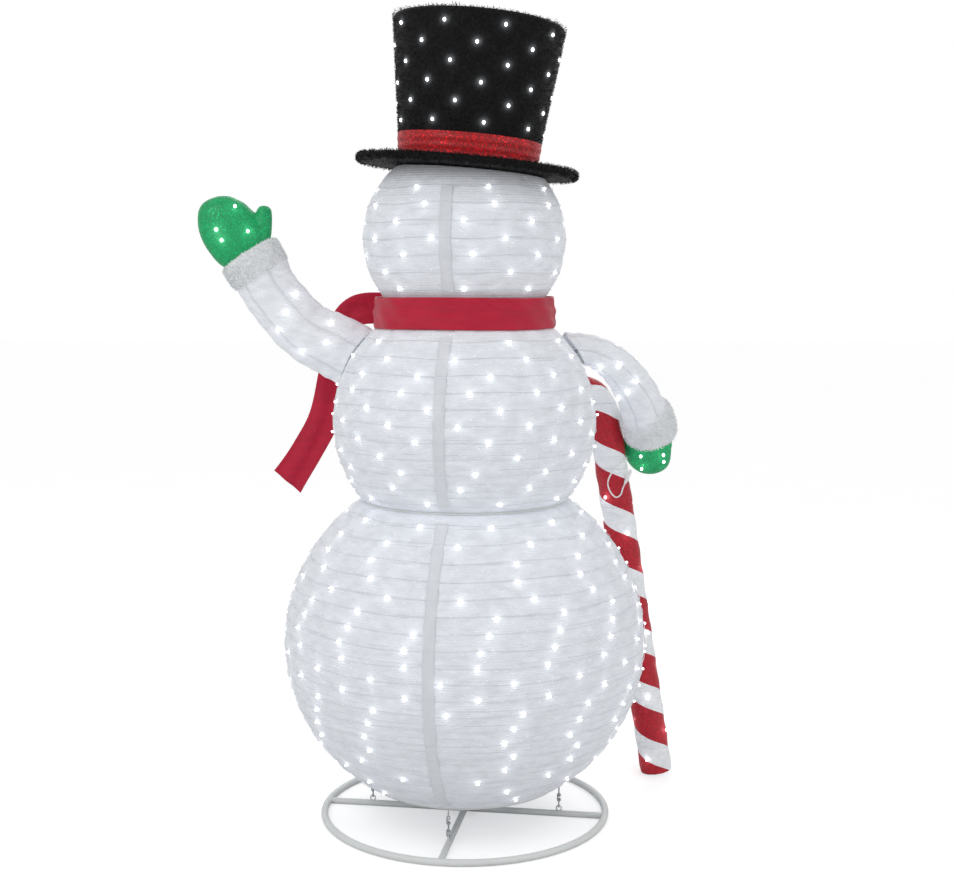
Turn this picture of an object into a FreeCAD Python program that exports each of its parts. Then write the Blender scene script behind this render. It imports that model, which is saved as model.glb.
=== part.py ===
"""Lit pop-up yard snowman: fabric balls on wire hoops, a telescoping pole and a ring base.

Millimetres, +Z up. The origin is the centre of the base ring on the ground.
The snowman's face looks along +Y, its raised arm is at -X and its cane arm at +X.
"""
import FreeCAD, Part
import math
import os

V = FreeCAD.Vector
UP = V(0, 0, 1)

# base
RING_R = 388.0            # centre line of the ground ring
RING_TUBE_R, RING_Z = 9.5, 8.6
BAR_TUBE_R, BAR_Z = 8.5, 7.7         # ring and bars are pressed flat where they meet the ground
BAR_TURN = -9.0           # the cross bars stand this many degrees off the X and Y axes
SOCKET_OR, SOCKET_IR, SOCKET_TOP = 18.0, 14.1, 110.0
FLANGE_R, FLANGE_T = 45.0, 4.0
CHAIN_R = 262.0           # where the tie chains stand
LINK_WIRE_R, LINK_BEND_R, LINK_SIDE = 1.8, 4.0, 13.4
LINK_STEP = LINK_SIDE + 2 * LINK_BEND_R - 4.0    # linked, with 0.4 mm of play
FIRST_LINK = 19.7         # centre of the lowest link above the bars

# pole: each tube slides inside the one below with 0.1 mm of radial clearance
LOWER_TUBE = (14.0, 12.8, 24.0, 620.0)        # outer radius, inner radius, bottom, top
MIDDLE_TUBE = (12.7, 11.5, 550.0, 1170.0)
UPPER_TUBE = (11.4, 10.0, 1100.0, 1700.0)
COLLAR_R, COLLAR_H, COLLAR_LIP = 19.0, 38.0, 14.0
SCREW_R, SCREW_HOLE_R, KNOB_R, KNOB_T = 3.0, 3.05, 12.0, 14.0

# fabric balls: centre height, equator radius, polar half height, bottom cut, top cut
LOWER = (495.0, 490.0, 467.0, 110.0, 872.0)
MIDDLE = (1090.0, 354.0, 338.0, 884.0, 1376.0)
HEAD = (1575.0, 270.0, 257.5, 1388.0, 1790.0)
COVER_T = 2.0
WIRE_R = 2.5
HOOP_GAP = 4.0            # from the inside of a cover to its hoops
BODY_RINGS = {"lower_body_ring": (104.0, 262.0), "waist_ring": (878.0, 268.0),
              "neck_ring": (1382.0, 176.0)}
BODY_RING_R = 4.0
HOOP_STEP = 94.0
CLOSURE_W, CLOSURE_AZIMUTH = 30.0, -100.0

# lights
BULB_R = 4.5
BULB_STAND = 5.5          # bulb centre above the cover
BULB_ROW = 38.0           # distance between light rows
BULB_STEP = 185.0         # distance between bulbs in a row
GOLDEN = 137.508
POWER_LEAD_R = 3.0

# hat
HAT_TILT = 5.0
HAT_PLACE = V(8, 0, 1764)
BRIM_R, BRIM_HOLE_R, BRIM_T = 294.0, 168.0, 20.0
CROWN_R0, CROWN_R1, CROWN_H, CROWN_T = 180.0, 227.0, 366.0, 3.0
BAND_H = 62.0
HEAD_TRIM_GAP = 4.0       # from the flat top of the head cover to the brim

# candy cane
CANE_R = 47.0
CANE_FOOT, CANE_NECK = V(572, 318, 0), V(402, 300, 1072)
CANE_HOOK_R = 86.0
CANE_HOOK_DIR = V(-0.87, 0.49, 0)
CANE_COVER_T = 1.5
CANE_PITCH, FIRST_BAND = 177.0, 110.0        # along the cane
BAND_SLAB, BAND_T, BAND_LEAN = 77.0, 1.5, 0.8   # a band's width across its lean, its thickness, the lean
CANE_BULB_START, CANE_BULB_STEP, CANE_BULB_END = 60.0, 38.0, 960.0
LEAD_AT, LEAD_R, LEAD_PLUG_R = 905.0, 2.0, 5.0
CANE_CAP_T, CANE_CAP_ROOM = 5.0, 14.0

# scarf: the wrap is a slightly tapered band round the neck
WRAP_LOW, WRAP_H, WRAP_R0, WRAP_R1, WRAP_T = 1341.0, 82.0, 245.0, 240.0, 4.0
SIDE_TAIL = [V(-190, 190, 1388), V(-300, 168, 1382), V(-352, 196, 1310), V(-372, 204, 1200),
             V(-400, 206, 1080), V(-450, 206, 985), V(-508, 206, 895)]
SIDE_TAIL_W, FRONT_TAIL_W, TAIL_T = 88.0, 84.0, 4.0
FRONT_TAIL_AZIMUTH = 122
KNOT_R, KNOT_AT = 26.0, V(-167.5, 214.3, 1372)

# face and coat: azimuths in degrees, heights above the ground
FACE_AZIMUTH = 90
EYE_SPREAD, EYE_Z, EYE_R, EYE_T = 21, 1632, 20, 12
NOSE_Z, NOSE_R, NOSE_TIP_R, NOSE_L = 1574, 24, 5, 150
MOUTH_SPREAD, MOUTH_Z, MOUTH_RISE, MOUTH_R, MOUTH_T = 22, 1500, 24, 10, 9
BUTTON_HEIGHTS, BUTTON_R, BUTTON_T = (1210, 1100, 990), 27, 12

# where each arm pegs to the middle ball, and its outward axis
WAVE_PEG, WAVE_AXIS = V(-296, 92, 1252), V(-0.832, 0.252, 0.495)
CANE_PEG, CANE_AXIS = V(296, 50, 1269), V(0.8245, 0.139, 0.549)
PEG_R, PEG_IN, PEG_OUT, PEG_HOLE_R = 5.0, 24.0, 44.0, 8.0
BUSH_R, BUSH_BORE, BUSH_L = 13.0, 5.05, 22.0
STAY_OFFSET = 10.5        # the wire stay leaves the bush this far off its axis
ARM_GAP = 12.0            # from the ball's cover to the open end of a sleeve
SLEEVE_T = 2.0

# stations of a limb: centre, half width, half thickness
WAVE_SLEEVE = [(V(-262, 92, 1236), 90, 42), (V(-350, 92, 1284), 88, 42), (V(-440, 92, 1333), 82, 43),
               (V(-531, 92, 1433), 76, 46), (V(-572, 92, 1492), 76, 48)]
WAVE_CUFF = [(V(-576, 92, 1499), 86, 58), (V(-589, 92, 1521), 92, 64), (V(-601, 92, 1545), 86, 58)]
WAVE_MITTEN = [(V(-604, 92, 1552), 70, 44), (V(-630, 92, 1610), 78, 45), (V(-657, 92, 1660), 70, 40),
               (V(-676, 92, 1698), 40, 26)]
WAVE_THUMB = [(V(-590, 92, 1590), 26, 24), (V(-556, 92, 1630), 25, 23), (V(-534, 92, 1664), 15, 14)]
CANE_SLEEVE = [(V(268, 45, 1284), 42, 42), (V(345, 60, 1275), 42, 42), (V(418, 100, 1232), 50, 46),
               (V(482, 165, 1150), 60, 52), (V(515, 232, 1072), 66, 56)]
CANE_CUFF = [(V(518, 238, 1066), 72, 60), (V(526, 257, 1044), 75, 64), (V(533, 278, 1022), 71, 58)]
CANE_MITTEN = [(V(536, 286, 1013), 58, 42), (V(544, 320, 975), 66, 44), (V(548, 350, 935), 60, 40),
               (V(548, 368, 905), 34, 24)]
CANE_THUMB = [(V(528, 335, 1000), 22, 20), (V(488, 362, 1020), 20, 18), (V(462, 372, 1040), 13, 12)]


def save(name, shapes):
    """Write one node: a solid, or a group of separate solids."""
    if isinstance(shapes, list):
        shapes = Part.makeCompound(shapes)
    shapes.exportStep("parts/" + name + ".step")


def tube(spec):
    outer, inner, bottom, top = spec
    foot = V(0, 0, bottom)
    return Part.makeCylinder(outer, top - bottom, foot).cut(Part.makeCylinder(inner, top - bottom, foot))


def hoop(radius, height, wire=WIRE_R):
    return Part.makeTorus(radius, wire, V(0, 0, height), UP)


def rod(start, end, radius):
    return Part.makeCylinder(radius, (end - start).Length, start, end - start)


# ---- fabric balls -------------------------------------------------------------------------------

def radius_at(ball, height, offset=0.0):
    centre, equator, pole = ball[:3]
    share = (height - centre) / (pole + offset)
    return (equator + offset) * math.sqrt(max(0.0, 1.0 - share * share))


def surface(ball, azimuth, height, offset=0.0):
    """A point over the ball's cover, and the outward normal there."""
    centre, equator, pole = ball[:3]
    r = radius_at(ball, height)
    a = math.radians(azimuth)
    normal = V(r * math.cos(a) / equator ** 2, r * math.sin(a) / equator ** 2, (height - centre) / pole ** 2)
    normal.normalize()
    return V(r * math.cos(a), r * math.sin(a), height) + normal * offset, normal


def ball_solid(ball, offset):
    """The ball swollen by offset, cut flat at its two ends."""
    centre, equator, pole, bottom, top = ball
    squash = (pole + offset) / (equator + offset)
    matrix = FreeCAD.Matrix()
    matrix.scale(1, 1, squash)
    solid = Part.makeSphere(equator + offset).transformGeometry(matrix)
    solid.translate(V(0, 0, centre))
    slab = Part.makeCylinder(2 * equator, top - bottom, V(0, 0, bottom))
    return solid.common(slab)


def skin(ball, outer, inner):
    return ball_solid(ball, outer).cut(ball_solid(ball, inner))


def hat_placement():
    return FreeCAD.Placement(HAT_PLACE, FreeCAD.Rotation(V(0, 1, 0), HAT_TILT))


def below_brim(gap):
    """All the space under the brim's lower face, less a gap."""
    block = Part.makeBox(1200, 1200, 800, V(-600, -600, -800 - BRIM_T / 2 - gap))
    block.Placement = hat_placement()
    return block


def head_cover():
    """The head's skin, closed at the top by a flat panel parallel to the brim."""
    outer = ball_solid(HEAD, 0).common(below_brim(HEAD_TRIM_GAP))
    inner = ball_solid(HEAD, -COVER_T).common(below_brim(HEAD_TRIM_GAP + COVER_T))
    return outer.cut(inner)


def peg_hole(peg, axis):
    return Part.makeCylinder(PEG_HOLE_R, 80, peg - axis * 40, axis)


def middle_cover():
    cover = skin(MIDDLE, 0, -COVER_T)
    return cover.cut(peg_hole(WAVE_PEG, WAVE_AXIS)).cut(peg_hole(CANE_PEG, CANE_AXIS))


def hoops(ball, top=None):
    """Wire hoops under the cover, evenly spread between its ends."""
    low = ball[3] + 2 * WIRE_R
    high = (top or ball[4]) - 2 * WIRE_R
    count = int((high - low) / HOOP_STEP) + 1
    heights = [low + (high - low) * i / count for i in range(count + 1)]
    inset = COVER_T + HOOP_GAP + WIRE_R
    return [hoop(radius_at(ball, h, -inset), h) for h in heights]


def closure(ball, azimuth, low, high):
    """A sewn closure strip lying over the cover, from one end to the other."""
    band = list(ball[:3]) + [low, high]
    strip = skin(band, 2.0, 0.5)
    box = Part.makeBox(2 * ball[1], CLOSURE_W, high - low, V(0, -CLOSURE_W / 2, low))
    box.rotate(V(0, 0, 0), UP, azimuth)
    return strip.common(box)


def light_rows(ball, low, high, keep):
    """Bulbs in level rows over the cover; keep(point) says which ones to fit."""
    bulbs = []
    rows = int((high - low) / BULB_ROW)
    for row in range(rows + 1):
        height = low + (high - low) * row / rows
        r = radius_at(ball, height)
        count = max(4, round(2 * math.pi * r / BULB_STEP))
        for i in range(count):
            azimuth = 360.0 * i / count + GOLDEN * row
            point, _ = surface(ball, azimuth, height, BULB_STAND)
            if keep(point):
                bulbs.append(Part.makeSphere(BULB_R, point))
    return bulbs


def clear_of(points, distance):
    return lambda p: all((p - q).Length > distance for q in points)


def disc(ball, azimuth, height, radius, thickness, gap):
    """A round button standing off the cover."""
    foot, normal = surface(ball, azimuth, height, gap)
    return Part.makeCylinder(radius, thickness, foot, normal)


# ---- soft limbs ---------------------------------------------------------------------------------

def section(stations, index, flat, shrink):
    """The oval section of a limb, square to its centre line; flat is its thin direction."""
    centre, half_width, half_thick = stations[index]
    before = stations[max(0, index - 1)][0]
    after = stations[min(len(stations) - 1, index + 1)][0]
    along = (after - before).normalize()
    thin = (flat - along * flat.dot(along)).normalize()
    wide = thin.cross(along)
    oval = Part.Ellipse(V(0, 0, 0), half_width - shrink, half_thick - shrink)
    wire = Part.Wire([oval.toShape()])
    turn = FreeCAD.Rotation(wide, thin, along, "ZXY")
    wire.Placement = FreeCAD.Placement(centre, turn)
    return wire


def limb(stations, flat, shrink=0.0):
    wires = [section(stations, i, flat, shrink) for i in range(len(stations))]
    return Part.makeLoft(wires, True, False)


def arm(prefix, sleeve, cuff, mitten, thumb, flat, peg, axis):
    """Write one arm: wire frame, sleeve, cuff, mitten and lights."""
    ball = ball_solid(MIDDLE, ARM_GAP)
    shell = limb(sleeve, flat).cut(limb(sleeve, flat, SLEEVE_T)).cut(ball)
    save(prefix + "_sleeve", shell)
    save(prefix + "_cuff", limb(cuff, flat))
    save(prefix + "_mitten", limb(mitten, flat).fuse(limb(thumb, flat)).removeSplitter())

    save(prefix + "_frame", arm_frame(sleeve, flat, peg, axis))
    bulbs = limb_lights(sleeve[1:4], flat, 3) + limb_lights(mitten[:3], flat, 2)
    thumb_spots = [station[0] for station in thumb]
    save(prefix + "_lights", [b for b in bulbs if clear_of(thumb_spots, 38)(b.BoundBox.Center)])


def arm_frame(sleeve, flat, peg, axis):
    """A bush that turns on the shoulder peg, and a wire stay that runs down the sleeve."""
    foot = peg + axis * (ARM_GAP + 4)
    middle = foot + axis * (BUSH_L / 2)
    bore = Part.makeCylinder(BUSH_BORE, BUSH_L, foot, axis)
    frame = Part.makeCylinder(BUSH_R, BUSH_L, foot, axis).cut(bore)
    reach = sleeve[2][0] - middle
    aside = (reach - axis * reach.dot(axis)).normalize()
    frame = frame.fuse(rod(middle + aside * STAY_OFFSET, sleeve[2][0], WIRE_R))
    for start, end in zip(sleeve[2:-1], sleeve[3:]):
        frame = frame.fuse(Part.makeSphere(WIRE_R * 1.6, start[0])).fuse(rod(start[0], end[0], WIRE_R))
    return frame


def limb_lights(stations, flat, across):
    """Bulbs on both broad sides of a limb, between its stations."""
    bulbs = []
    for index in range(len(stations) - 1):
        (c0, w0, t0), (c1, w1, t1) = stations[index], stations[index + 1]
        along = (c1 - c0).normalize()
        thin = (flat - along * flat.dot(along)).normalize()
        wide = thin.cross(along)
        for side in (-1, 1):
            for k in range(across):
                share = (k + 0.5) / across
                angle = math.radians(35 + 110 * share)
                centre = c0 + (c1 - c0) * (0.2 + 0.6 * ((share * 2.3 + 0.31 * index) % 1.0))
                reach_w = max(w0, w1) + BULB_STAND + 3
                reach_t = max(t0, t1) + BULB_STAND + 3
                spot = centre + wide * (reach_w * math.cos(angle)) + thin * (side * reach_t * math.sin(angle))
                bulbs.append(Part.makeSphere(BULB_R, spot))
    return bulbs


# ---- candy cane ---------------------------------------------------------------------------------

def cane_frame():
    """Direction of the leaning shaft, the hook's side direction and the hook's centre."""
    shaft = (CANE_NECK - CANE_FOOT).normalize()
    side = (CANE_HOOK_DIR - shaft * CANE_HOOK_DIR.dot(shaft)).normalize()
    return shaft, side, CANE_NECK + side * CANE_HOOK_R


def cane_tube():
    """The cover: a straight leaning tube and a half ring that hooks towards the body."""
    shaft, side, centre = cane_frame()
    foot = CANE_FOOT + shaft * CANE_CAP_ROOM
    length = (CANE_NECK - foot).Length
    straight = Part.makeCylinder(CANE_R, length, foot, shaft)
    straight = straight.cut(Part.makeCylinder(CANE_R - CANE_COVER_T, length, foot, shaft))
    rims = [Part.Wire([Part.Circle(CANE_NECK, shaft, r).toShape()]) for r in (CANE_R, CANE_R - CANE_COVER_T)]
    ring = Part.Face(rims)
    hook = ring.revolve(centre, side.cross(shaft) * -1, 180)
    return straight.fuse(hook).removeSplitter()


def cane_point(distance):
    """A point of the centre line, its direction and a fixed side direction."""
    shaft, side, centre = cane_frame()
    straight = (CANE_NECK - CANE_FOOT).Length
    if distance <= straight:
        return CANE_FOOT + shaft * distance, shaft
    turn = (distance - straight) / CANE_HOOK_R
    point = centre - side * (CANE_HOOK_R * math.cos(turn)) + shaft * (CANE_HOOK_R * math.sin(turn))
    return point, side * math.sin(turn) + shaft * math.cos(turn)


def cane_band(distance):
    """One red band: a slice of a thin tube round the cane, leaning down towards +X."""
    point, way = cane_point(distance)
    slab = Part.makeCylinder(3 * CANE_R, BAND_SLAB, point, way + V(BAND_LEAN, 0, 0))
    low = point - way * CANE_R
    outer_r = CANE_R + 0.5 + BAND_T
    sleeve = Part.makeCylinder(outer_r, 2 * CANE_PITCH, low, way)
    sleeve = sleeve.cut(Part.makeCylinder(outer_r - BAND_T, 2 * CANE_PITCH, low, way))
    return slab.common(sleeve)


def cane_bulb(distance, turn):
    point, way = cane_point(distance)
    _, side, _ = cane_frame()
    angle = math.radians(turn)
    out = way.cross(side) * math.cos(angle) + side * math.sin(angle)
    return Part.makeSphere(BULB_R, point + out * (CANE_R + BULB_STAND + 2.5))


def cane():
    save("cane_cover", cane_tube())
    shaft, _, _ = cane_frame()
    length = (CANE_NECK - CANE_FOOT).Length
    bands = []
    hoop_list = []
    for index in range(int((length - FIRST_BAND) / CANE_PITCH)):
        distance = FIRST_BAND + CANE_PITCH * index
        point, way = cane_point(distance)
        bands.append(cane_band(distance))
        hoop_list.append(Part.makeTorus(CANE_R - 8, WIRE_R, point, way))
    save("cane_stripes", bands)
    save("cane_hoops", hoop_list)
    count = int((CANE_BULB_END - CANE_BULB_START) / CANE_BULB_STEP)
    save("cane_lights", [cane_bulb(CANE_BULB_START + CANE_BULB_STEP * n, GOLDEN * n) for n in range(count)])
    foot_at = CANE_FOOT + shaft * (CANE_CAP_ROOM - CANE_CAP_T - 0.5)
    foot = Part.makeCylinder(CANE_R, CANE_CAP_T, foot_at, shaft)
    tip, way = cane_point(length + math.pi * CANE_HOOK_R)
    save("cane_end_caps", [foot, Part.makeCylinder(CANE_R, CANE_CAP_T, tip + way * 0.5, way)])
    clip = cane_point(LEAD_AT)[0] - V(0, CANE_R + 16, 0)
    lead = rod(clip + V(-14, 0, -52), clip + V(10, 0, 46), LEAD_R)
    plug = rod(clip + V(14, 0, 40), clip + V(52, 0, 62), LEAD_PLUG_R)
    save("cane_lead", [lead, plug])


# ---- pole ---------------------------------------------------------------------------------------

def thumb_screw(reach, height):
    """A screw along +X whose tip stops just short of the tube that it locks."""
    shank = Part.makeCylinder(SCREW_R, 26, V(reach, 0, height), V(1, 0, 0))
    knob = Part.makeCylinder(KNOB_R, KNOB_T, V(reach + 22, 0, height), V(1, 0, 0))
    for k in range(6):
        a = math.radians(60 * k)
        groove = V(reach + 21, (KNOB_R + 1.5) * math.cos(a), height + (KNOB_R + 1.5) * math.sin(a))
        knob = knob.cut(Part.makeCylinder(3.2, KNOB_T + 2, groove, V(1, 0, 0)))
    return shank.fuse(knob)


def screw_hole(height):
    return Part.makeCylinder(SCREW_HOLE_R, 60, V(5, 0, height), V(1, 0, 0))


def collar(tube_spec, next_spec):
    """A collar that grips the tube's top and guides the next tube through its lip."""
    top = tube_spec[3]
    low = V(0, 0, top - COLLAR_H + COLLAR_LIP)
    body = Part.makeCylinder(COLLAR_R, COLLAR_H, low)
    body = body.cut(Part.makeCylinder(tube_spec[0], COLLAR_H - COLLAR_LIP, low))
    body = body.cut(Part.makeCylinder(next_spec[0] + 0.1, COLLAR_H, V(0, 0, top - 1)))
    return body.cut(screw_hole(top + COLLAR_LIP / 2))


def pole():
    save("lower_pole_tube", tube(LOWER_TUBE))
    save("middle_pole_tube", tube(MIDDLE_TUBE))
    save("upper_pole_tube", tube(UPPER_TUBE))
    save("lower_pole_collar", collar(LOWER_TUBE, MIDDLE_TUBE))
    save("upper_pole_collar", collar(MIDDLE_TUBE, UPPER_TUBE))
    save("lower_lock_screw", thumb_screw(MIDDLE_TUBE[0] + 0.4, LOWER_TUBE[3] + COLLAR_LIP / 2))
    save("upper_lock_screw", thumb_screw(UPPER_TUBE[0] + 0.4, MIDDLE_TUBE[3] + COLLAR_LIP / 2))
    hub_z = UPPER_TUBE[3] - 8
    hub = Part.makeCylinder(16, 14, V(0, 0, hub_z)).cut(Part.makeCylinder(UPPER_TUBE[0], 8, V(0, 0, hub_z)))
    spider = hub.fuse(hoop(100, hub_z + 9, 3.5))
    for k in range(4):
        spoke = rod(V(14, 0, hub_z + 9), V(100, 0, hub_z + 9), 3)
        spoke.rotate(V(0, 0, 0), UP, 90 * k + 45)
        spider = spider.fuse(spoke)
    save("head_top_spider", spider)


# ---- base ---------------------------------------------------------------------------------------

def base():
    ground = Part.makeBox(4 * RING_R, 4 * RING_R, 50, V(-2 * RING_R, -2 * RING_R, -50))
    ring = Part.makeTorus(RING_R, RING_TUBE_R, V(0, 0, RING_Z), UP)
    save("base_ring", ring.cut(ground))
    bars = None
    eyes = []
    chains = []
    hooks = []
    bar_top = BAR_Z + BAR_TUBE_R
    for k in range(4):
        turn = BAR_TURN + 90 * k
        eye = Part.makeTorus(7, 2, V(CHAIN_R, 0, bar_top + 6), V(0, 1, 0))
        eye.rotate(V(0, 0, 0), UP, turn)
        eyes.append(eye)
        links = []
        for n in range(3):
            links.append(chain_link(bar_top + FIRST_LINK + LINK_STEP * n, n % 2 == 0))
        top_link = bar_top + FIRST_LINK + 2 * LINK_STEP
        hook = chain_hook(top_link + LINK_SIDE / 2 + LINK_BEND_R + LINK_WIRE_R)
        for piece in links + [hook]:
            piece.rotate(V(0, 0, 0), UP, turn)
        chains += links
        hooks.append(hook)
    for turn in (BAR_TURN, BAR_TURN + 90):
        bar = Part.makeCylinder(BAR_TUBE_R, 2 * RING_R, V(-RING_R, 0, BAR_Z), V(1, 0, 0))
        bar.rotate(V(0, 0, 0), UP, turn)
        bars = bar if bars is None else bars.fuse(bar)
    bars = bars.cut(ring).cut(ground)
    for eye in eyes:
        bars = bars.fuse(eye)
    save("base_cross_bars", max(bars.Solids, key=lambda s: s.Volume))
    save("tie_chains", chains)
    save("tie_hooks", hooks)
    ring_z, ring_r = BODY_RINGS["lower_body_ring"]
    save("lower_body_ring", hoop(ring_r, ring_z, BODY_RING_R))

    flange_z = bar_top
    socket = Part.makeCylinder(FLANGE_R, FLANGE_T, V(0, 0, flange_z))
    socket = socket.fuse(Part.makeCylinder(SOCKET_OR, SOCKET_TOP - flange_z, V(0, 0, flange_z)))
    socket = socket.cut(Part.makeCylinder(SOCKET_IR, SOCKET_TOP, V(0, 0, flange_z + FLANGE_T)))
    save("pole_socket", socket.cut(screw_hole(SOCKET_TOP - 20)))
    save("socket_screw", thumb_screw(LOWER_TUBE[0] + 0.4, SOCKET_TOP - 20))


def chain_link(height, across):
    """One oval chain link, standing up at the chain's place; every second one is turned."""
    half = LINK_SIDE / 2
    link = None
    for side in (-1, 1):
        leg = rod(V(side * LINK_BEND_R, 0, -half), V(side * LINK_BEND_R, 0, half), LINK_WIRE_R)
        bend = Part.makeTorus(LINK_BEND_R, LINK_WIRE_R, V(0, 0, side * half), V(0, 1, 0))
        link = leg.fuse(bend) if link is None else link.fuse(leg).fuse(bend)
    if across:
        link.rotate(V(0, 0, 0), UP, 90)
    link.translate(V(CHAIN_R, 0, height))
    return link


def chain_hook(height):
    """A small wire hook from the top of the last link up to the body ring."""
    ring_z, ring_r = BODY_RINGS["lower_body_ring"]
    eye = V(ring_r, 0, height + 3)
    shank = rod(eye, V(ring_r, 0, ring_z - BODY_RING_R - 0.5), 1.5)
    return shank.fuse(Part.makeSphere(2.4, eye))


# ---- scarf, hat, face ---------------------------------------------------------------------------

def ribbon(stations, width, thickness, flat):
    """A strip of cloth lofted through level-ended stations; flat is the direction through the cloth."""
    wires = []
    for index, point in enumerate(stations):
        before = stations[max(0, index - 1)]
        after = stations[min(len(stations) - 1, index + 1)]
        along = (after - before).normalize()
        thin = (flat - along * flat.dot(along)).normalize()
        wide = thin.cross(along)
        corners = [point + wide * (sx * width / 2) + thin * (sy * thickness / 2)
                   for sx, sy in ((-1, -1), (1, -1), (1, 1), (-1, 1))]
        wires.append(Part.makePolygon(corners + corners[:1]))
    return Part.makeLoft(wires, True, True)


def scarf():
    """The wrap round the neck, its two hanging tails and the knot between them."""
    foot = V(0, 0, WRAP_LOW)
    inner = Part.makeCone(WRAP_R0 - WRAP_T, WRAP_R1 - WRAP_T, WRAP_H, foot)
    outer = Part.makeCone(WRAP_R0, WRAP_R1, WRAP_H, foot)
    save("scarf_wrap", outer.cut(inner))
    front_tail = [surface(MIDDLE, FRONT_TAIL_AZIMUTH, z, 16)[0] for z in (1320, 1260, 1190, 1110, 1030)]
    save("scarf_tails", [ribbon(SIDE_TAIL, SIDE_TAIL_W, TAIL_T, V(-0.25, 1, 0.1)),
                         ribbon(front_tail, FRONT_TAIL_W, TAIL_T, V(-0.53, 0.85, 0))])
    save("scarf_knot", Part.makeSphere(KNOT_R, KNOT_AT))


def place_hat(shape):
    shape.Placement = hat_placement().multiply(shape.Placement)
    return shape


def crown_radius(height):
    return CROWN_R0 + (CROWN_R1 - CROWN_R0) * height / CROWN_H


def hat():
    floor = BRIM_T / 2
    brim = Part.makeCylinder(BRIM_R, BRIM_T, V(0, 0, -floor))
    brim = brim.cut(Part.makeCylinder(BRIM_HOLE_R, BRIM_T, V(0, 0, -floor)))
    edge = [e for e in brim.Edges if abs(e.Length - 2 * math.pi * BRIM_R) < 1]
    save("hat_brim", place_hat(brim.makeFillet(floor * 0.9, edge)))
    crown = Part.makeCone(CROWN_R0, CROWN_R1, CROWN_H, V(0, 0, floor))
    hollow = Part.makeCone(CROWN_R0 - CROWN_T, CROWN_R1 - CROWN_T, CROWN_H - CROWN_T, V(0, 0, floor))
    rim = [e for e in crown.Edges if abs(e.Length - 2 * math.pi * CROWN_R1) < 1]
    save("hat_crown", place_hat(crown.makeFillet(12, rim).cut(hollow)))
    band_r = crown_radius(0) + 1.0
    grow = (CROWN_R1 - CROWN_R0) * BAND_H / CROWN_H
    band = Part.makeCone(band_r + 3, band_r + 3 + grow, BAND_H, V(0, 0, floor + 1))
    band = band.cut(Part.makeCone(band_r, band_r + grow, BAND_H, V(0, 0, floor + 1)))
    save("hat_band", place_hat(band))

    rings = [30, 190, 345]
    inset = CROWN_T + HOOP_GAP + WIRE_R
    frame = hoop(crown_radius(rings[0]) - inset, floor + rings[0])
    for height in rings[1:]:
        frame = frame.fuse(hoop(crown_radius(height) - inset, floor + height))
    for k in range(4):
        a = math.radians(90 * k + 45)
        out = V(math.cos(a), math.sin(a), 0)
        low = out * (crown_radius(rings[0]) - inset) + UP * (floor + rings[0])
        high = out * (crown_radius(rings[-1]) - inset) + UP * (floor + rings[-1])
        frame = frame.fuse(rod(low, high, WIRE_R))
    save("hat_frame", place_hat(frame))

    bulbs = []
    for row in range(6):
        height = 90 + 48 * row
        r = crown_radius(height) + BULB_STAND
        for i in range(9):
            a = math.radians(40 * i + GOLDEN * row)
            bulbs.append(Part.makeSphere(BULB_R, V(r * math.cos(a), r * math.sin(a), floor + height)))
    save("hat_lights", place_hat(Part.makeCompound(bulbs)))


def face():
    save("eyes", [disc(HEAD, FACE_AZIMUTH + side * EYE_SPREAD, EYE_Z, EYE_R, EYE_T, 2.5) for side in (-1, 1)])
    foot, _ = surface(HEAD, FACE_AZIMUTH, NOSE_Z, 4)
    save("carrot_nose", Part.makeCone(NOSE_R, NOSE_TIP_R, NOSE_L, foot, V(0, 1, 0.04)))
    dots = []
    for k in range(5):
        bend = (k - 2) / 2.0
        height = MOUTH_Z + MOUTH_RISE * bend * bend
        dots.append(disc(HEAD, FACE_AZIMUTH + MOUTH_SPREAD * bend, height, MOUTH_R, MOUTH_T, 1.5))
    save("mouth_dots", dots)
    save("coat_buttons", [disc(MIDDLE, FACE_AZIMUTH, z, BUTTON_R, BUTTON_T, 3) for z in BUTTON_HEIGHTS])


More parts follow.
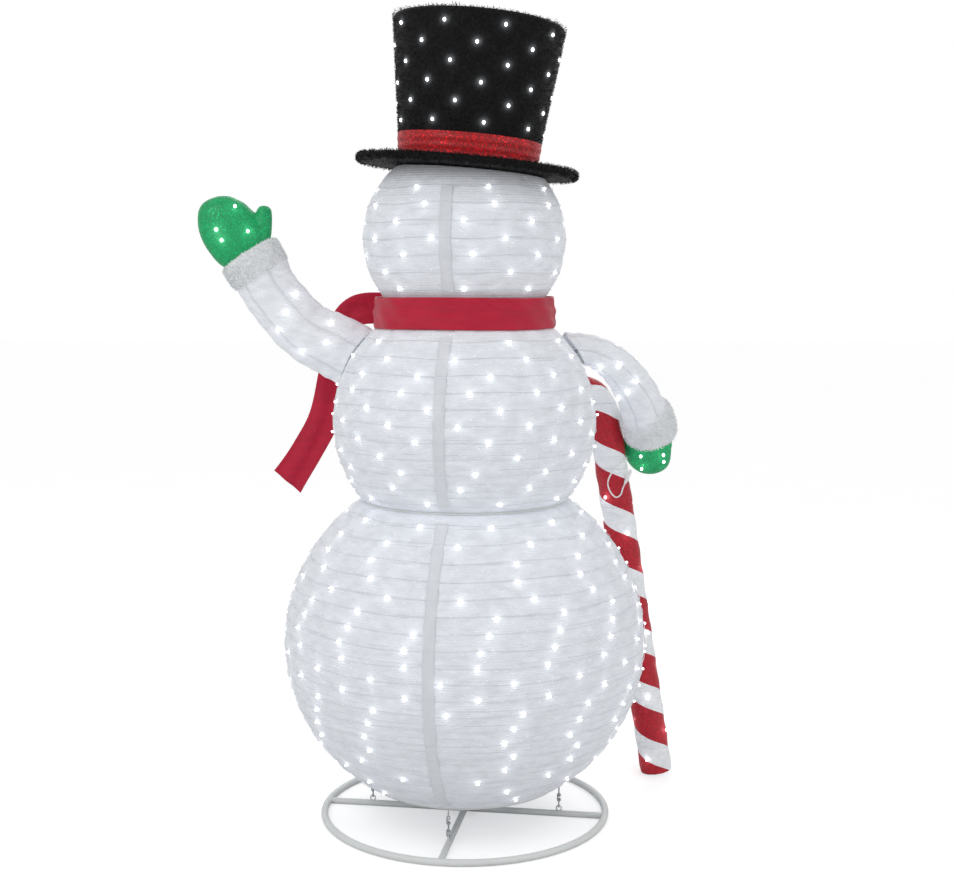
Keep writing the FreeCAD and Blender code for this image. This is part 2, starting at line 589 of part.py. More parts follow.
def bodies():
    """The covers, hoops, rings, closures and light strings of the three balls."""
    save("lower_body_cover", skin(LOWER, 0, -COVER_T))
    save("middle_body_cover", middle_cover())
    save("head_cover", head_cover())
    save("lower_body_hoops", hoops(LOWER))
    save("middle_body_hoops", [h for h in hoops(MIDDLE) if not 1225 < h.BoundBox.Center.z < 1300])
    save("head_hoops", hoops(HEAD, 1700))
    for name in ("waist_ring", "neck_ring"):
        height, radius = BODY_RINGS[name]
        save(name, hoop(radius, height, BODY_RING_R))
    save("lower_closure", closure(LOWER, CLOSURE_AZIMUTH, 124, 860))
    save("middle_closure", closure(MIDDLE, CLOSURE_AZIMUTH, 896, 1325))
    save("head_closure", closure(HEAD, CLOSURE_AZIMUTH, 1440, 1700))

    def off_strip(point):
        azimuth = math.degrees(math.atan2(point.y, point.x))
        return abs(azimuth - CLOSURE_AZIMUTH) * math.radians(1) * math.hypot(point.x, point.y) > 26

    def off_pegs(point):
        return off_strip(point) and clear_of([WAVE_PEG, CANE_PEG], 130)(point) and \
            clear_of([surface(MIDDLE, FACE_AZIMUTH, z)[0] for z in BUTTON_HEIGHTS], 50)(point) and \
            clear_of([surface(MIDDLE, FRONT_TAIL_AZIMUTH, z)[0] for z in range(1000, 1340, 40)], 70)(point)

    def off_face(point):
        return off_strip(point) and not (point.y > 170 and abs(point.x) < 120)

    save("lower_body_lights", light_rows(LOWER, 140, 850, off_strip))
    save("middle_body_lights", light_rows(MIDDLE, 905, 1310, off_pegs))
    save("head_lights", light_rows(HEAD, 1445, 1700, off_face))
    pegs = [rod(peg - axis * PEG_IN, peg + axis * PEG_OUT, PEG_R)
            for peg, axis in ((WAVE_PEG, WAVE_AXIS), (CANE_PEG, CANE_AXIS))]
    save("shoulder_pegs", pegs)


def power():
    """The lead runs out of the lower ball along the ground to a plug."""
    path = [V(60, 150, 92), V(110, 250, 40), V(150, 330, 24), V(190, 395, 24)]
    lead = None
    for start, end in zip(path, path[1:]):
        piece = rod(start, end, POWER_LEAD_R).fuse(Part.makeSphere(POWER_LEAD_R, start))
        lead = piece if lead is None else lead.fuse(piece)
    save("power_lead", lead.removeSplitter())
    way = (path[-1] - path[-2]).normalize()
    save("power_plug", Part.makeCone(7, 13, 40, path[-1] + way * 1.0, way))


def main():
    os.makedirs("parts", exist_ok=True)
    base()
    pole()
    bodies()
    face()
    scarf()
    hat()
    arm("waving_arm", WAVE_SLEEVE, WAVE_CUFF, WAVE_MITTEN, WAVE_THUMB, V(0, 1, 0), WAVE_PEG, WAVE_AXIS)
    arm("cane_arm", CANE_SLEEVE, CANE_CUFF, CANE_MITTEN, CANE_THUMB, V(0, 0.75, 0.66), CANE_PEG, CANE_AXIS)
    cane()
    power()


main()
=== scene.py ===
"""The looks of the lit pop-up yard snowman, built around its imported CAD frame.

Metres, +Z up, the CAD frame's origin: the centre of the base ring on the ground. The camera stands
behind the snowman, at -Y. The face is on the +Y side.
"""
import random
from math import asin, atan2, cos, exp, hypot, pi, radians, sin, sqrt, tan

import bpy
import numpy as np
from mathutils import Matrix, Vector


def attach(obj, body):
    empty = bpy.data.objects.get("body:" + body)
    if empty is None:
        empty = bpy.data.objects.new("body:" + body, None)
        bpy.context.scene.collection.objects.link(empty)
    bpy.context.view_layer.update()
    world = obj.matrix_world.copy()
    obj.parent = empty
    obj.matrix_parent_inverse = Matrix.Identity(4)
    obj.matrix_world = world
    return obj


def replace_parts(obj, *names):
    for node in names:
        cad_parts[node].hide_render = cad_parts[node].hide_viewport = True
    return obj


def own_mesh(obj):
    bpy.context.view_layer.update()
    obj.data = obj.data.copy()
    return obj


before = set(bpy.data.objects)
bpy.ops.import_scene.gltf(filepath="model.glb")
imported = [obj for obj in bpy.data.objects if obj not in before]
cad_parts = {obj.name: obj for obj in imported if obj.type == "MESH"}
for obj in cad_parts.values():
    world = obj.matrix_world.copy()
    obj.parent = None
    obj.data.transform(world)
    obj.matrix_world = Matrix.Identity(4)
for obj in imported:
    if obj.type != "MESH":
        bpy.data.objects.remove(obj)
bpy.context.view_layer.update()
UP = Vector((0, 0, 1))
TAU = 2 * pi

# the three balls: centre height, equator radius, polar half height, lower hem, upper hem
LOWER = (0.495, 0.490, 0.467, 0.110, 0.872)
MIDDLE = (1.090, 0.354, 0.338, 0.884, 1.376)
HEAD = (1.575, 0.270, 0.2575, 1.388, 1.735)
WAIST_Z, NECK_Z, FOOT_Z = 0.878, 1.382, 0.104
CLOSURE_AZIMUTH = radians(-100)

# skin of a ball: wire hoops' pitch along the arc, cloth gores, rows of the rolled hem
HOOP_PITCH, GORES, HEM_ROWS = 0.094, 8, 4

# the head comes down by DROP on a cover REACH high: the share of height that stays, and the cane's own
DROP, REACH = 1.0, 1.597
KEEP = 1 - DROP / REACH
CANE_KEEP = 0.246

# lamps: lens radius on a ball and on the other parts, lens length, ball lamps' wire
BALL_LAMP_R, LAMP_R, LAMP_LENGTH, LAMP_WIRE_R = 0.0034, 0.0042, 1.2, 0.0008

# face and coat: azimuths in degrees, heights, radii and depths in metres
FACE_AZIMUTH = 90
EYE_SPREAD, EYE_Z, EYE_R, EYE_DEPTH = 21, 1.632, 0.020, 0.013
MOUTH_SPREAD, MOUTH_Z, MOUTH_RISE, DOT_R = 22, 1.500, 0.024, 0.010
NOSE_Z, NOSE_R, NOSE_TIP_R, NOSE_LENGTH = 1.574, 0.024, 0.005, 0.150
BUTTON_HEIGHTS, BUTTON_R, BUTTON_DEPTH = (1.210, 1.100, 0.990), 0.027, 0.014
THREAD_HOLE_R, THREAD_RING_R, THREAD_OUT = 0.0026, 0.007, 0.0086

# scarf: the wrap's edges, lower radius and taper, cloth thickness, tails, knot lumps and their sizes
WRAP_LOW, WRAP_HIGH, WRAP_R, WRAP_TAPER = 1.341, 1.423, 0.2445, 0.0045
SCARF_CLOTH = 0.003
SIDE_TAIL = ((-0.190, 0.190, 1.388), (-0.300, 0.168, 1.382), (-0.352, 0.196, 1.310), (-0.372, 0.204, 1.200),
             (-0.400, 0.206, 1.080), (-0.450, 0.206, 0.985), (-0.508, 0.206, 0.895))
FRONT_TAIL_AZIMUTH, FRONT_TAIL_OUT = 122, 0.016
FRONT_TAIL_HEIGHTS = (1.340, 1.270, 1.190, 1.110, 1.030)
KNOT_LUMPS = (((-0.158, 0.217, 1.382), 1.2), ((-0.148, 0.232, 1.364), 1.0))

HAT_TILT = radians(5)
HAT_PLACE = Vector((0.008, 0, 1.764))
BRIM_R, BRIM_HOLE_R, BRIM_T = 0.294, 0.168, 0.020
CROWN_R0, CROWN_R1, CROWN_H = 0.180, 0.227, 0.366
BAND_H = 0.062
CROWN_ROUND, BRIM_ROUND, BRIM_BULGE = 0.014, 0.012, 0.010
TUFT_WIDTH = 0.00075

CANE_R = 0.047
CANE_FOOT, CANE_NECK = Vector((0.572, 0.318, 0)), Vector((0.402, 0.300, 1.072))
CANE_HOOK_R = 0.086
CANE_HOOK_DIR = Vector((-0.87, 0.49, 0))
CANE_START, CANE_ROW_STEP, CANE_PUFF_PITCH = 0.010, 0.0045, 0.080
# the red helix: rise per turn, share of the way round, angle at the foot
CANE_PITCH = 0.177
CANE_RED_SHARE = 0.56
CANE_TWIST = 2.87
LEAD_AT, LEAD_R = 0.905, 0.0022

# studio: camera, sky strength, lights as name, place, aim, size, power
CAMERA_PLACE, CAMERA_DIP = (0.0334, -3.916, 1.4716), 6.445
LENS, SENSOR = 55.0, 36
SKY_LIGHT, FLOOR_GLOW, FLOOR_SIZE = 0.66, 0.45, 60
STUDIO_LIGHTS = (("key", (-2.6, -3.2, 3.6), (0, 0, 1.1), 2.6, 40),
                 ("fill", (3.2, -2.6, 2.2), (0, 0, 1.0), 3.0, 16),
                 ("back", (0.5, 3.4, 3.2), (0, 0, 1.2), 2.6, 34))


# ---- materials ----

class Shader:
    """A short way to write a node material round one Principled BSDF."""

    def __init__(self, name, color, roughness=0.6, metallic=0.0, sheen=0.0):
        self.mat = bpy.data.materials.new(name)
        self.mat.use_nodes = True
        self.nodes = self.mat.node_tree.nodes
        self.links = self.mat.node_tree.links
        self.bsdf = self.nodes["Principled BSDF"]
        self.set("Base Color", (*color, 1))
        self.set("Roughness", roughness)
        self.set("Metallic", metallic)
        self.set("Sheen Weight", sheen)
        self.coords = self.nodes.new("ShaderNodeTexCoord").outputs["Object"]

    def set(self, socket, value):
        self.bsdf.inputs[socket].default_value = value

    def node(self, kind, inputs=None, **settings):
        made = self.nodes.new("ShaderNode" + kind)
        for key, value in settings.items():
            setattr(made, key, value)
        for key, value in (inputs or {}).items():
            self.feed(made.inputs[key], value)
        return made

    def feed(self, socket, value):
        """Link an output to a socket, or set the socket's plain value."""
        if isinstance(value, bpy.types.NodeSocket):
            self.links.new(value, socket)
        else:
            socket.default_value = value

    def to(self, socket, value):
        self.feed(self.bsdf.inputs[socket], value)

    def math(self, operation, a, b=0.0):
        return self.node("Math", {0: a, 1: b}, operation=operation).outputs[0]

    def times(self, a, b):
        return self.math("MULTIPLY", a, b)

    def plus(self, a, b):
        return self.math("ADD", a, b)

    def thread(self, level, pitch):
        """Fine ribs that repeat along a height."""
        return self.math("SINE", self.times(level, TAU / pitch))

    def stretched(self, stretch):
        return self.node("Mapping", {"Vector": self.coords, "Scale": stretch}).outputs[0]

    def noise(self, scale, detail=3.0, stretch=(1, 1, 1)):
        place = self.stretched(stretch)
        made = self.node("TexNoise", {"Vector": place, "Scale": scale, "Detail": detail})
        return made.outputs["Fac"]

    def cells(self, scale, stretch=(1, 1, 1), output="Color"):
        made = self.node("TexVoronoi", {"Vector": self.stretched(stretch), "Scale": scale})
        return made.outputs[output]

    def ramp(self, value, low, high, low_color=(0, 0, 0, 1), high_color=(1, 1, 1, 1)):
        made = self.node("ValToRGB", {"Fac": value})
        first, last = made.color_ramp.elements
        first.position, last.position = low, high
        first.color, last.color = low_color, high_color
        return made.outputs["Color"]

    def mix(self, factor, a, b):
        made = self.node("Mix", {"Factor": factor, "A": a, "B": b}, data_type="RGBA")
        return made.outputs["Result"]

    def bump(self, height, distance, strength):
        made = self.node("Bump", {"Height": height, "Distance": distance, "Strength": strength})
        self.to("Normal", made.outputs[0])

    def attribute(self, name):
        return self.node("Attribute", attribute_name=name).outputs["Fac"]

    def glow(self, color, strength):
        self.to("Emission Color", color)
        self.to("Emission Strength", strength)


def separate_z(shader):
    return shader.node("SeparateXYZ", {"Vector": shader.coords}).outputs["Z"]


def lit_mesh(name, tint=(0.79, 0.82, 0.885), inner=0.06, cords=0.42):
    """Sheer white mesh with glitter thread and darker seams, lit by the lamps on it; the lamps' light, an
    even glow from inside and glints on the glitter thread are painted in as emission.
    """
    s = Shader(name, tint, roughness=0.7, sheen=0.2)
    height = separate_z(s)
    wobble = s.times(s.noise(3.0), 0.010)
    level = s.plus(height, wobble)
    thread = s.thread(level, 0.0064)
    rows = s.math("PINGPONG", s.plus(level, 5.0), 0.019)
    cord = s.math("LESS_THAN", rows, 0.0010)
    broken = s.ramp(s.noise(12.0, 3.0, (1, 1, 4)), 0.46, 0.60)
    cord = s.times(cord, broken)
    mottle = s.noise(26.0, 4.0, (1, 1, 2.4))
    grain = s.noise(330.0, 2.0, (1, 1, 1.8))
    dark = (*[c * 0.90 for c in tint], 1)
    pale = (*[min(1, c * 1.10) for c in tint], 1)
    cloth = s.mix(s.ramp(mottle, 0.30, 0.72), dark, pale)
    cloth = s.mix(s.times(s.ramp(grain, 0.35, 0.65), 0.35), cloth, (0.97, 0.98, 1.0, 1))
    line = s.math("MAXIMUM", s.times(cord, cords), s.times(s.attribute("seam"), 0.5))
    cloth = s.mix(line, cloth, (0.44, 0.46, 0.52, 1))
    s.to("Base Color", cloth)
    # painted glints: scattered flakes of the glitter thread glow on their own
    flakes = s.math("GREATER_THAN", s.cells(210.0, (1, 1, 2.0)), 0.90)
    light = s.plus(s.times(s.attribute("glow"), 0.6), s.times(flakes, 0.16))
    # inner is an even painted glow over the whole cloth, standing in for the lamps' light from inside
    s.glow((0.93, 0.96, 1.0, 1), s.plus(light, inner))
    s.bump(s.plus(s.times(thread, 0.30), grain), 0.0011, 0.8)
    return s.mat


def tape(name):
    s = Shader(name, (0.80, 0.83, 0.88), roughness=0.75, sheen=0.3)
    weave = s.thread(separate_z(s), 0.0016)
    blot = s.noise(40.0)
    s.to("Base Color", s.mix(blot, (0.80, 0.83, 0.89, 1), (0.90, 0.92, 0.97, 1)))
    # painted light: the lamps' glow on the tape and a faint even glow of its own
    s.glow((0.93, 0.96, 1.0, 1), s.plus(s.times(s.attribute("glow"), 0.8), 0.03))
    s.bump(weave, 0.0006, 0.6)
    return s.mat


def glitter(name, color, dark, flake, size, painted_glint):
    """Glitter cloth: small flakes, each with its own tone, over a woven ground; the palest flakes are
    metallic and carry painted glints, and the lamps' light is painted in as emission.
    """
    s = Shader(name, color, roughness=0.45)
    cells = s.cells(size)
    tone = s.node("SeparateColor", {"Color": cells}).outputs[0]
    s.to("Base Color", s.mix(tone, (*dark, 1), (*color, 1)))
    # painted glints: the palest flakes glow on their own, on top of being metallic
    bright = s.math("GREATER_THAN", tone, flake)
    s.to("Roughness", s.math("SUBTRACT", 0.62, s.times(tone, 0.35)))
    s.to("Metallic", s.times(bright, 0.5))
    # painted light: where the lamps' glow falls, the emission turns white
    spark = s.mix(s.attribute("glow"), (*color, 1), (1, 1, 1, 1))
    strength = s.plus(s.times(bright, painted_glint), s.times(s.attribute("glow"), 1.6))
    s.glow(spark, strength)
    s.bump(tone, 0.0012, 0.7)
    return s.mat


def satin(name):
    s = Shader(name, (0.50, 0.008, 0.042), roughness=0.38, sheen=0.05)
    s.set("Specular IOR Level", 0.3)
    s.set("Anisotropic", 0.5)
    thread = s.thread(separate_z(s), 0.0011)
    tone = s.noise(14.0, 3.0, (1, 1, 4))
    s.to("Base Color", s.mix(tone, (0.42, 0.004, 0.028, 1), (0.66, 0.010, 0.050, 1)))
    s.to("Roughness", s.ramp(tone, 0.2, 0.8, (0.30, 0.30, 0.30, 1), (0.44, 0.44, 0.44, 1)))
    s.bump(s.plus(s.times(thread, 0.25), s.noise(60.0, 2.0, (1, 1, 0.3))), 0.0010, 0.5)
    return s.mat


def tinsel(name):
    s = Shader(name, (0.004, 0.004, 0.005), roughness=0.5)
    s.set("Specular IOR Level", 0.16)
    tone = s.noise(240.0, 2.0)
    s.to("Base Color", s.mix(s.ramp(tone, 0.45, 0.75), (0.002, 0.002, 0.0025, 1), (0.014, 0.014, 0.016, 1)))
    s.glow((0.9, 0.95, 1.0, 1), s.times(s.attribute("glow"), 0.30))
    s.bump(tone, 0.002, 0.9)
    return s.mat


def plush(name):
    s = Shader(name, (0.90, 0.92, 0.93), roughness=0.95, sheen=0.8)
    tone = s.noise(150.0, 4.0)
    s.to("Base Color", s.mix(tone, (0.76, 0.79, 0.81, 1), (0.98, 0.99, 1.0, 1)))
    # painted light: a faint even glow of the plush itself
    s.glow((0.95, 0.97, 1.0, 1), 0.03)
    s.bump(tone, 0.004, 0.9)
    return s.mat


def felt(name, color, dark):
    s = Shader(name, color, roughness=0.9, sheen=0.5)
    tone = s.noise(170.0, 4.0)
    s.to("Base Color", s.mix(tone, (*dark, 1), (*color, 1)))
    s.bump(tone, 0.0014, 0.7)
    return s.mat


def painted_steel(name):
    s = Shader(name, (0.72, 0.74, 0.73), roughness=0.38)
    peel = s.noise(420.0, 2.0)
    wear = s.ramp(s.noise(11.0, 5.0), 0.55, 0.80)
    s.to("Base Color", s.mix(s.times(wear, 0.4), (0.76, 0.78, 0.77, 1), (0.50, 0.52, 0.51, 1)))
    s.to("Roughness", s.plus(0.30, s.times(peel, 0.22)))
    s.bump(peel, 0.0004, 0.4)
    return s.mat


def bare_steel(name, color=(0.52, 0.53, 0.55)):
    s = Shader(name, color, roughness=0.35, metallic=1.0)
    spangle = s.cells(160.0, output="Distance")
    s.to("Roughness", s.plus(0.26, s.times(spangle, 0.35)))
    s.bump(s.noise(300.0, 2.0), 0.0003, 0.4)
    return s.mat


def moulded(name, color, roughness):
    s = Shader(name, color, roughness=roughness)
    grain = s.noise(520.0, 2.0)
    pale = tuple(min(1, c * 1.35 + 0.004) for c in color)
    s.to("Base Color", s.mix(s.noise(24.0), (*color, 1), (*pale, 1)))
    s.to("Roughness", s.plus(roughness - 0.08, s.times(grain, 0.18)))
    s.bump(grain, 0.0003, 0.5)
    return s.mat


def lamp(name):
    """A lit lens: hottest where it faces the eye."""
    s = Shader(name, (0.95, 0.97, 1.0), roughness=0.2)
    facing = s.node("LayerWeight", {"Blend": 0.4}).outputs["Facing"]
    s.glow((0.97, 0.985, 1.0, 1), s.math("SUBTRACT", 4.5, s.times(facing, 2.5)))
    return s.mat


MATERIALS = {
    "mesh": lit_mesh("white_mesh"),
    "sleeve": lit_mesh("white_mesh_sleeve", (0.82, 0.85, 0.90), 0.07, 0.0),
    "cane_white": lit_mesh("white_mesh_cane", (0.84, 0.86, 0.89), 0.08),
    "tape": tape("white_tape"),
    "green": glitter("green_glitter", (0.006, 0.50, 0.165), (0.003, 0.32, 0.105), 0.92, 340.0, 0.30),
    "red": glitter("red_glitter", (0.66, 0.012, 0.018), (0.30, 0.004, 0.007), 0.88, 330.0, 0.55),
    "cane_red": glitter("cane_red_glitter", (0.62, 0.010, 0.030), (0.40, 0.005, 0.016), 0.93, 380.0, 0.28),
    "satin": satin("red_satin"),
    "tinsel": tinsel("black_tinsel"),
    "plush": plush("white_plush"),
    "felt": felt("orange_felt", (0.80, 0.20, 0.018), (0.52, 0.10, 0.008)),
    "white_steel": painted_steel("white_steel"),
    "zinc_steel": bare_steel("zinc_steel"),
    "spring_wire": bare_steel("spring_wire", (0.66, 0.67, 0.69)),
    "black_plastic": moulded("black_plastic", (0.012, 0.012, 0.014), 0.35),
    "white_plastic": moulded("white_plastic", (0.78, 0.80, 0.81), 0.35),
    "lamp": lamp("lamp"),
    "lamp_wire": moulded("lamp_wire", (0.70, 0.73, 0.77), 0.4),
}


# ---- mesh helpers ----

def add_object(name, data):
    made = bpy.data.objects.new(name, data)
    bpy.context.scene.collection.objects.link(made)
    return made


def piece(name, verts, faces, materials, body, indices=None):
    """A new smooth mesh piece that rides on a body."""
    mesh = bpy.data.meshes.new(name)
    mesh.from_pydata([tuple(v) for v in verts], [], faces)
    for key in materials:
        mesh.materials.append(MATERIALS[key])
    if indices is not None:
        mesh.polygons.foreach_set("material_index", indices)
    mesh.polygons.foreach_set("use_smooth", [True] * len(mesh.polygons))
    mesh.validate()
    mesh.update()
    made = add_object(name, mesh)
    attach(made, body)
    return made


def ring_point(radius, azimuth, height):
    return Vector((radius * cos(azimuth), radius * sin(azimuth), height))


def grid_faces(rows, columns, closed=True):
    """Quads of a row-by-row grid; closed joins the last column to the first."""
    faces = []
    last = columns if closed else columns - 1
    for r in range(rows - 1):
        for c in range(last):
            d = (c + 1) % columns
            faces.append((r * columns + c, r * columns + d, (r + 1) * columns + d, (r + 1) * columns + c))
    return faces


def capped_faces(rows, columns):
    """Faces of a closed grid whose first and last rows are filled."""
    count = rows * columns
    return grid_faces(rows, columns) + [tuple(reversed(range(columns))), tuple(range(count - columns, count))]


def bulb_centres(node):
    """The centre of each separate solid in a light node."""
    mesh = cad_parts[node].data
    parent = list(range(len(mesh.vertices)))

    def root(i):
        while parent[i] != i:
            parent[i] = parent[parent[i]]
            i = parent[i]
        return i

    for edge in mesh.edges:
        parent[root(edge.vertices[0])] = root(edge.vertices[1])
    groups = {}
    for vertex in mesh.vertices:
        groups.setdefault(root(vertex.index), []).append(vertex.co)
    raw = [sum(group, Vector()) / len(group) for group in groups.values()]
    centres = []
    for point in sorted(raw, key=lambda p: (round(p.z, 4), p.x, p.y)):
        if all((point - other).length > 0.004 for other in centres[-40:]):
            centres.append(point)
    return centres


def add_glow(obj, centres, core=0.0060, halo=0.024, halo_share=0.13):
    """Store how much lamp light falls on each vertex."""
    count = len(obj.data.vertices)
    points = np.empty(count * 3)
    obj.data.vertices.foreach_get("co", points)
    points = points.reshape(-1, 3)
    light = np.zeros(count)
    for centre in centres:
        near = np.abs(points[:, 2] - centre.z) < 2.5 * halo
        gap = ((points[near] - np.array(centre)) ** 2).sum(1)
        light[near] += np.exp(-gap / core ** 2) + halo_share * np.exp(-gap / halo ** 2)
    layer = obj.data.attributes.new("glow", "FLOAT", "POINT")
    layer.data.foreach_set("value", np.minimum(light, 1.4))


def stand_in(made, anchor_z, *nodes, keep=KEEP):
    """Let a piece stand in for CAD nodes, on a mesh of its own."""
    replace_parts(made, *nodes)
    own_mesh(made)


def squashed_hoops(node, body, anchor_z):
    """A spring-wire copy of a ball's CAD hoops that stands in for them."""
    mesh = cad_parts[node].data.copy()
    mesh.materials.clear()
    mesh.materials.append(MATERIALS["spring_wire"])
    made = add_object(node + "_soft", mesh)
    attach(made, body)
    stand_in(made, anchor_z, node)


def sphere_points(centre, radius, axis, stretch, rows=6, columns=8):
    """Vertices and faces of a small rounded lens along an axis."""
    turn = axis.to_track_quat("Z", "Y").to_matrix()
    verts = [centre - turn @ Vector((0, 0, radius * stretch))]
    for r in range(1, rows):
        polar = pi * r / rows
        for c in range(columns):
            local = ring_point(radius * sin(polar), TAU * c / columns, -radius * stretch * cos(polar))
            verts.append(centre + turn @ local)
    verts.append(centre + turn @ Vector((0, 0, radius * stretch)))
    faces = []
    for c in range(columns):
        d = (c + 1) % columns
        faces.append((0, 1 + d, 1 + c))
        for r in range(rows - 2):
            a, b = 1 + r * columns, 1 + (r + 1) * columns
            faces.append((a + c, a + d, b + d, b + c))
        top = 1 + (rows - 2) * columns
        faces.append((len(verts) - 1, top + c, top + d))
    return verts, faces


def wire_tube(points, radius, sides, closed=False):
    """A thin tube along a polyline."""
    verts, faces = [], []
    count = len(points)
    for i, point in enumerate(points):
        after = points[(i + 1) % count] if closed or i + 1 < count else points[i]
        before = points[i - 1] if closed or i else points[i]
        along = (after - before).normalized()
        side = along.cross(UP)
        side = side.normalized() if side.length > 1e-6 else Vector((1, 0, 0))
        over = side.cross(along)
        for k in range(sides):
            a = TAU * k / sides
            verts.append(point + side * (radius * cos(a)) + over * (radius * sin(a)))
    spans = count if closed else count - 1
    for i in range(spans):
        j = (i + 1) % count
        for k in range(sides):
            m = (k + 1) % sides
            faces.append((i * sides + k, j * sides + k, j * sides + m, i * sides + m))
    if not closed:
        faces.append(tuple(range(sides)))
        faces.append(tuple(reversed(range((count - 1) * sides, count * sides))))
    return verts, faces


class Batch:
    """Gathers many small meshes into one piece."""

    def __init__(self):
        self.verts, self.faces, self.indices = [], [], []

    def add(self, shape, index=0):
        verts, faces = shape
        base = len(self.verts)
        self.verts += verts
        self.faces += [tuple(base + i for i in face) for face in faces]
        self.indices += [index] * len(faces)

    def make(self, name, materials, body):
        return piece(name, self.verts, self.faces, materials, body, self.indices)


# ---- fabric balls ----

def ball_point(ball, azimuth, height, offset=0.0):
    """A point of a ball's skin and its outward normal."""
    centre, equator, pole = ball[:3]
    share = (height - centre) / pole
    r = equator * sqrt(max(0.0, 1 - share * share))
    normal = Vector((r * cos(azimuth) / equator ** 2, r * sin(azimuth) / equator ** 2,
                     (height - centre) / pole ** 2)).normalized()
    return ring_point(r, azimuth, height) + normal * offset, normal


def skin_relief(ball, azimuth, polar):
    """Sag between the hoops, gore seams and fine gathers, in metres."""
    arc = polar * ball[1]
    sag = -0.0016 * sin(pi * ((arc / HOOP_PITCH) % 1.0)) ** 2
    gore = (azimuth / TAU * GORES + 0.12) % 1.0
    seam = -0.0022 * exp(-((min(gore, 1 - gore) * TAU / GORES * ball[1]) / 0.006) ** 2)
    gather = 0.0007 * sin(azimuth * 46 + 5 * sin(arc * 31)) * sin(arc * 150 + azimuth * 3)
    return sag + seam + gather


def brim_floor(x):
    """Height of the flat top of the head, just under the tilted brim."""
    return HAT_PLACE.z - (x - HAT_PLACE.x) * tan(HAT_TILT) - (BRIM_T / 2 + 0.004) / cos(HAT_TILT)


def hem_row(edge, ring_r, share, height):
    """A skin's edge row, drawn in by a share of the way to a ring's radius."""
    row = []
    for c, point in enumerate(edge):
        radius = hypot(point.x, point.y)
        row.append(ring_point(radius + (ring_r - radius) * share, TAU * c / len(edge), height))
    return row


def ball_skin(name, node, ball, body, anchor_z, lights, grid, rings, capped):
    """One fabric ball as a fine sheet whose hems roll in over the body rings."""
    rows, columns = grid
    centre, _, pole, low, high = ball
    first = asin((low - centre) / pole)
    last = pi / 2 - 0.004 if capped else asin((high - centre) / pole)
    verts = []
    for r in range(rows):
        polar = first + (last - first) * r / (rows - 1)
        for c in range(columns):
            azimuth = TAU * c / columns
            point, normal = ball_point(ball, azimuth, centre + pole * sin(polar))
            point += normal * skin_relief(ball, azimuth, polar)
            if capped:
                point.z = min(point.z, brim_floor(point.x) - 0.001)
            verts.append(point)
    hem = []
    for k in range(HEM_ROWS):
        turn = (HEM_ROWS - k) / HEM_ROWS
        hem += hem_row(verts[:columns], rings[0], turn, low - 0.003 * turn)
    if not capped:
        edge = verts[-columns:]
        for k in range(1, HEM_ROWS + 1):
            turn = k / HEM_ROWS
            verts += hem_row(edge, rings[1], turn, high + 0.003 * turn)
    verts = hem + verts
    faces = grid_faces(len(verts) // columns, columns)
    if capped:
        faces.append(tuple(range(len(verts) - columns, len(verts))))
    made = piece(name, verts, faces, ["mesh"], body)
    add_glow(made, lights)
    stand_in(made, anchor_z, node)


def string_wires(name, node, ball, body, anchor_z, centres):
    """Lamps of a ball, each on its row's level wire."""
    batch = Batch()
    rows = {}
    for centre in centres:
        rows.setdefault(round(centre.z / 0.012), []).append(centre)
        _, normal = ball_point(ball, atan2(centre.y, centre.x), centre.z)
        along = normal.cross(UP).normalized()
        batch.add(sphere_points(centre - normal * 0.0016, BALL_LAMP_R, along, 1.3))
    for key, row in sorted(rows.items()):
        height = sum(p.z for p in row) / len(row)
        path = []
        for step in range(96):
            azimuth = TAU * step / 96
            droop = 0.0022 * sin(azimuth * 7 + key * 1.7)
            path.append(ball_point(ball, azimuth, height + droop, 0.0014)[0])
        batch.add(wire_tube(path, LAMP_WIRE_R, 4, True), 1)
    made = batch.make(name, ["lamp", "lamp_wire"], body)
    stand_in(made, anchor_z, node)


def closure_strip(name, node, ball, body, anchor_z, lights, span):
    """A sewn tape down the back of a ball, with folded edges."""
    low, high = span
    rows, columns = 90, 13
    verts = []
    for r in range(rows):
        height = low + (high - low) * r / (rows - 1)
        radius = hypot(*ball_point(ball, 0, height)[0].xy)
        for c in range(columns):
            share = c / (columns - 1) * 2 - 1
            azimuth = CLOSURE_AZIMUTH + share * 0.015 / radius
            edge = 0.0008 if abs(share) > 0.8 else 0.0
            ripple = 0.0006 * sin(r * 0.9 + 2 * share)
            lift = 0.0012 + edge + ripple if abs(share) < 1 else 0.0002
            verts.append(ball_point(ball, azimuth, height, lift)[0])
    made = piece(name, verts, grid_faces(rows, columns, False), ["tape"], body)
    add_glow(made, lights)
    stand_in(made, anchor_z, node)


def make_balls():
    """Skin, lamp strings, closure tape and hoops of each ball."""
    balls = (("lower", "lower_body", LOWER, "root", FOOT_Z, (150, 380), (0.262, 0.268), (0.124, 0.860)),
             ("middle", "middle_body", MIDDLE, "waist", WAIST_Z, (110, 300), (0.268, 0.176), (0.896, 1.325)),
             ("head", "head", HEAD, "neck", NECK_Z, (110, 240), (0.176, 0.1), (1.440, 1.700)))
    for name, node, ball, body, anchor_z, grid, rings, tape_span in balls:
        lights = bulb_centres(node + "_lights")
        ball_skin(name + "_skin", node + "_cover", ball, body, anchor_z, lights, grid, rings, ball is HEAD)
        string_wires(name + "_lamps", node + "_lights", ball, body, anchor_z, lights)
        closure_strip(name + "_tape", name + "_closure", ball, body, anchor_z, lights, tape_span)
        squashed_hoops(node + "_hoops", body, anchor_z)


# ---- face and buttons ----

